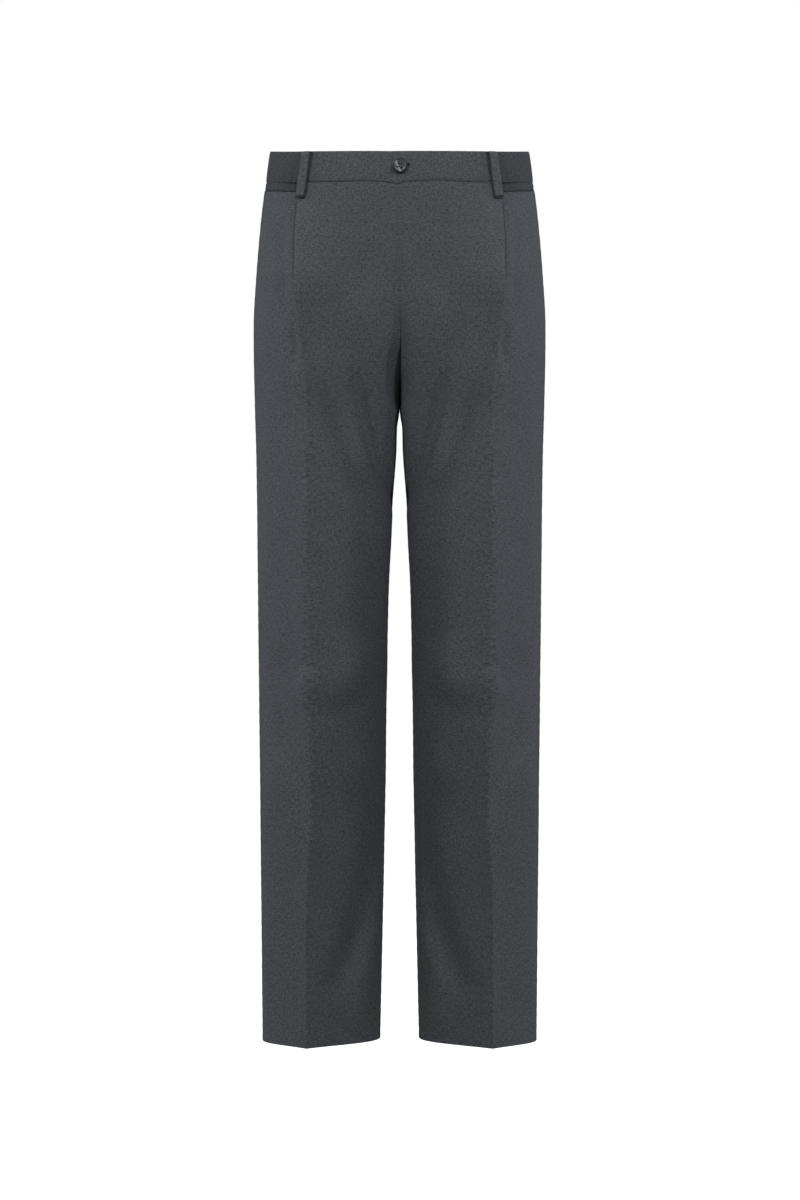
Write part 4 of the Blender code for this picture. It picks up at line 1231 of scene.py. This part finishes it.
class Wiring:
    """Adds nodes to a tree and joins them, so that a material reads from top to bottom."""

    def __init__(self, tree):
        self.tree = tree

    def add(self, kind, values=None, **settings):
        node = self.tree.nodes.new(kind)
        for name, value in settings.items():
            setattr(node, name, value)
        for socket, value in (values or {}).items():
            if isinstance(value, bpy.types.NodeSocket):
                self.tree.links.new(value, node.inputs[socket])
            else:
                node.inputs[socket].default_value = value
        return node

    def math(self, operation, *values, clamp=False):
        node = self.add("ShaderNodeMath", dict(enumerate(values)), operation=operation, use_clamp=clamp)
        return node.outputs[0]

    def noise(self, vector, scale, detail=2.0, roughness=0.5):
        values = {"Vector": vector, "Scale": scale, "Detail": detail, "Roughness": roughness}
        return self.add("ShaderNodeTexNoise", values).outputs["Fac"]

    def stretched(self, vector, scale):
        return self.add("ShaderNodeVectorMath", {0: vector, 1: scale}, operation="MULTIPLY").outputs[0]

    def mixed(self, factor, one, other):
        node = self.add("ShaderNodeMix", {0: factor, 6: one, 7: other}, data_type="RGBA")
        return node.outputs[2]

    def join(self, output, socket):
        self.tree.links.new(output, socket)

    def group(self, group, values):
        return self.add("ShaderNodeGroup", values, node_tree=group)

    def look(self, shader, group, values, strength, depth):
        """Gives the shader a group's colour, and its height by way of a bump."""
        made = self.group(group, values).outputs
        bump = {"Height": made["Height"], "Strength": strength, "Distance": depth}
        self.join(made["Color"], shader.inputs["Base Color"])
        self.join(self.add("ShaderNodeBump", bump).outputs["Normal"], shader.inputs["Normal"])


def new_material(name, finish):
    """A material with constant values on its shader's own sockets, and the wiring for the rest."""
    material = bpy.data.materials.new(name)
    material.use_nodes = True
    shader = material.node_tree.nodes["Principled BSDF"]
    for socket, value in finish.items():
        shader.inputs[socket].default_value = value
    return material, Wiring(material.node_tree), shader


def flannel_group():
    """Heathered wool: dark and pale fibres blended at several sizes, over a fine twill, with painted shade
    that darkens it where it is seen edge-on.
    """
    inputs = (
        ("Grain", "Vector", None),
        ("Dark", "Color", WOOL_DARK),
        ("Pale", "Color", WOOL_PALE),
        ("Mottle", "Float", 1.0),
        ("Ribs", "Float", 0.0),
        ("Facing", "Float", 0.0),
    )
    outputs = (("Color", "Color"), ("Height", "Float"))
    wires, source, result = new_group("heathered_flannel", inputs, outputs)
    grain = source["Grain"]
    mottle = wires.noise(grain, 520.0, 1.0)
    upright = wires.noise(wires.stretched(grain, (1.0, 0.3, 1.0)), 700.0, 1.0)
    level = wires.noise(wires.stretched(grain, (0.3, 1.0, 1.0)), 700.0, 1.0)
    fibres = wires.noise(grain, 2400.0, 2.0)
    clouds = wires.noise(grain, 26.0, 2.0)
    coarse = wires.math("MULTIPLY_ADD", upright, 0.8, mottle)
    coarse = wires.math("MULTIPLY_ADD", level, 0.8, coarse)
    both = wires.math("MULTIPLY_ADD", fibres, 0.7, coarse)
    centred = wires.math("SUBTRACT", both, 1.65)
    strong = wires.math("MULTIPLY", centred, source["Mottle"])
    drift = wires.math("MULTIPLY_ADD", clouds, 0.16, 0.42)
    across, up, _ = wires.add("ShaderNodeSeparateXYZ", {0: grain}).outputs
    rib_wave = wires.math("SINE", wires.math("MULTIPLY", across, math.tau / RIB_SPACING))
    ribs = wires.math("MULTIPLY", rib_wave, source["Ribs"])
    blend = wires.math("ADD", wires.math("ADD", strong, drift), ribs, clamp=True)
    cloth = wires.mixed(blend, source["Dark"], source["Pale"])
    # Painted shade: the colour turns to the dark fibres' colour where the cloth is seen edge-on.
    edge = wires.math("POWER", source["Facing"], EDGE_SHADE_POWER)
    wires.join(wires.mixed(edge, cloth, source["Dark"]), result["Color"])
    diagonal = wires.math("MULTIPLY", wires.math("ADD", across, up), math.tau / TWILL_SPACING)
    twill = wires.math("MULTIPLY", wires.math("SINE", diagonal), 0.25)
    wires.join(wires.math("ADD", wires.math("ADD", twill, both), ribs), result["Height"])
    return wires.tree


def horn_group():
    """Dark polished horn: fine grain, a pale streak down one side and a near-black rim, partly the horn's
    darker edge and partly painted shade for the shadow round the button.
    """
    inputs = (
        ("Place", "Vector", None),
        ("Dark", "Color", HORN_DARK),
        ("Pale", "Color", HORN_PALE),
        ("Rim and Shade", "Color", HORN_RIM_AND_SHADE),
    )
    wires, source, result = new_group("streaked_horn", inputs, (("Color", "Color"), ("Height", "Float")))
    place = source["Place"]
    grain = wires.noise(wires.stretched(place, (1.0, 0.35, 1.0)), 900.0, 3.0)
    wander = wires.math("MULTIPLY_ADD", wires.noise(place, 260.0, 1.0), STREAK_WANDER, -STREAK_WANDER / 2)
    across, up, _ = wires.add("ShaderNodeSeparateXYZ", {0: place}).outputs
    leaning = wires.math("MULTIPLY_ADD", up, STREAK_LEAN, across)
    from_streak = wires.math("ABSOLUTE", wires.math("ADD", wires.math("ADD", leaning, wander), STREAK_X))
    streak = wires.math("SUBTRACT", 1.0, wires.math("DIVIDE", from_streak, STREAK_WIDTH), clamp=True)
    sharp = wires.math("MULTIPLY", wires.math("POWER", streak, 0.5), 0.85)
    faint = wires.math("MULTIPLY", wires.math("SUBTRACT", grain, 0.42, clamp=True), 0.5)
    blend = wires.math("ADD", sharp, faint, clamp=True)
    streaked = wires.mixed(blend, source["Dark"], source["Pale"])
    reach = wires.math("SQRT", wires.math("MULTIPLY_ADD", up, up, wires.math("MULTIPLY", across, across)))
    # Near-black towards the edge: partly the horn's darker edge, partly painted shade.
    at_rim_shade = wires.math("DIVIDE", wires.math("SUBTRACT", reach, RIM_START), RIM_BLEND, clamp=True)
    wires.join(wires.mixed(at_rim_shade, streaked, source["Rim and Shade"]), result["Color"])
    wires.join(grain, result["Height"])
    return wires.tree


FLANNEL = flannel_group()


def wool_material(name, painted_shade=1.0, ribs=0.0):
    material, wires, shader = new_material(name, WOOL_FINISH)
    # both wool colours are darkened by this share: painted shade
    dark, pale = ((*[part * painted_shade for part in colour[:3]], 1.0) for colour in (WOOL_DARK, WOOL_PALE))
    grain = wires.add("ShaderNodeUVMap", uv_map="Grain").outputs["UV"]
    # The facing drives the painted edge shade.
    facing = wires.add("ShaderNodeLayerWeight", {"Blend": 0.5}).outputs["Facing"]
    values = {"Grain": grain, "Dark": dark, "Pale": pale, "Mottle": 1.0, "Ribs": ribs, "Facing": facing}
    wires.look(shader, FLANNEL, values, 0.5, 0.25 * MM)
    return material


def horn_material(name):
    material, wires, shader = new_material(name, HORN_FINISH)
    place = wires.add("ShaderNodeUVMap", uv_map="Face").outputs["UV"]
    wires.look(shader, horn_group(), {"Place": place}, 0.2, 0.1 * MM)
    return material


def thread_material(name):
    material, wires, shader = new_material(name, THREAD_FINISH)
    place = wires.add("ShaderNodeTexCoord").outputs["Object"]
    values = {"Grain": place, "Dark": THREAD_DARK, "Pale": THREAD_PALE, "Mottle": 0.8}
    wires.look(shader, FLANNEL, values, 0.3, 0.1 * MM)
    return material


WOOL = wool_material("wool_flannel")
# The side band and the pocket strip get darker copies of the wool: painted shade.
SIDE_SHADED_WOOL = wool_material("wool_side_band_painted_shade", SIDE_PAINTED_SHADE)
POCKET_SHADED_WOOL = wool_material("wool_pocket_strip_painted_shade", SIDE_PAINTED_SHADE, POCKET_RIBS)

# ---- the garment


def dress(piece, node, material):
    """Gives a piece of cloth its material, hangs it from the body's root and hides the model's solid that it
    stands for.
    """
    piece.data.materials.append(material)
    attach(piece, "root")
    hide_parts(node)


for hand in (LEFT, RIGHT):
    side = side_name(hand)
    dress(front_panel(hand), f"front_panel_{side}", WOOL)
    dress(back_panel(hand), f"back_panel_{side}", WOOL)
    dress(pocket_facing(hand), f"pocket_facing_{side}", POCKET_SHADED_WOOL)
    dress(front_band(hand), f"waistband_front_{side}", WOOL)
    dress(back_band(hand), f"waistband_back_{side}", SIDE_SHADED_WOOL)
for name, facing, hand, run_of, inset in loop_places():
    loop = belt_loop(f"belt_loop_cloth_{name}", facing, hand, run_of, inset)
    dress(loop, f"belt_loop_{name}", WOOL)

button = waist_button()
button.data.materials.append(horn_material("dark_horn"))
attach(button, "root")
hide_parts("waist_button")
thread = stitches()
thread.data.materials.append(thread_material("dark_thread"))
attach(thread, "root")

# ---- floor, light and camera

CAMERA_PLACE = (0.0005, -3.2, -0.529)
CAMERA_LENS = 81.36
FLOOR_LEVEL = -1.30
FLOOR_REACH = 14.0
FLOOR_FINISH = {
    "Base Color": (0.3, 0.3, 0.3, 1.0),
    "Roughness": 0.9,
    "Specular IOR Level": 0.0,
    "Emission Color": (1.0, 1.0, 1.0, 1.0),
}
SKY_LIGHT = 0.25  # the room's even light, from above
GROUND_LIGHT = 0.08  # and from below
LIGHT_COLUMNS = ("name", "place", "aim", "size", "watts", "colour")
LIGHTS = (
    ("side_left", (-1.9, 0.25, 0.15), (0, 0, -0.45), (1.2, 1.4), 24.0, (0.92, 1.0, 1.10)),
    ("side_right", (1.9, 0.25, 0.15), (0, 0, -0.45), (1.2, 1.4), 24.0, (0.92, 1.0, 1.10)),
    ("front_left", (-1.42, -1.9, 1.35), (0, 0, -0.2), (0.6, 0.6), 42.0, (0.98, 1.0, 1.02)),
    ("front_right", (1.42, -1.9, 1.35), (0, 0, -0.2), (0.6, 0.6), 42.0, (0.98, 1.0, 1.02)),
    ("front_low", (0, -2.8, -0.6), (0, 0, -0.6), (1.6, 1.6), 6.0, (1.03, 1.0, 0.96)),
    ("back_top", (0, 2.3, 1.5), (0, 0, -0.2), (2.2, 1.0), 50.0, (1.0, 1.0, 1.0)),
)


def soft_light(name, place, aim, size, watts, colour):
    data = bpy.data.lights.new(name, "AREA")
    data.shape = "RECTANGLE"
    data.size, data.size_y = size
    data.energy = watts
    data.color = colour
    light = link_object(name, data)
    light.location = place
    light.rotation_euler = (Vector(aim) - Vector(place)).to_track_quat("-Z", "Y").to_euler()


def set_world():
    """White to the camera. The cloth gets less of it, and more from above than from below."""
    world = bpy.data.worlds.new("white_room")
    world.use_nodes = True
    wires = Wiring(world.node_tree)
    background = world.node_tree.nodes["Background"]
    around = wires.add("ShaderNodeTexCoord").outputs["Generated"]
    height = wires.add("ShaderNodeSeparateXYZ", {0: around}).outputs[2]
    ramp = {"Value": height, "From Min": -0.6, "From Max": 0.6, "To Min": GROUND_LIGHT, "To Max": SKY_LIGHT}
    room = wires.add("ShaderNodeMapRange", ramp).outputs[0]
    seen = wires.add("ShaderNodeLightPath").outputs["Is Camera Ray"]
    wires.join(wires.math("MAXIMUM", room, seen), background.inputs["Strength"])
    background.inputs["Color"].default_value = (1.0, 1.0, 1.0, 1.0)
    bpy.context.scene.world = world


def set_floor():
    mesh = bpy.data.meshes.new("floor")
    corners = [(x * FLOOR_REACH, y * FLOOR_REACH, 0) for x, y in ((-1, -1), (1, -1), (1, 1), (-1, 1))]
    mesh.from_pydata(corners, [], [(0, 1, 2, 3)])
    floor = link_object("floor", mesh)
    floor.location = (0, 0, FLOOR_LEVEL)
    material, wires, shader = new_material("floor_white", FLOOR_FINISH)
    seen = wires.add("ShaderNodeLightPath").outputs["Is Camera Ray"]
    wires.join(seen, shader.inputs["Emission Strength"])
    mesh.materials.append(material)


set_world()
set_floor()
for light in LIGHTS:
    soft_light(**dict(zip(LIGHT_COLUMNS, light)))

camera_data = bpy.data.cameras.new("camera")
camera_data.lens = CAMERA_LENS
camera = link_object("camera", camera_data)
camera.location = CAMERA_PLACE
camera.rotation_euler = (math.radians(90), 0, 0)
bpy.context.scene.camera = camera
bpy.context.scene.view_settings.view_transform = "Standard"
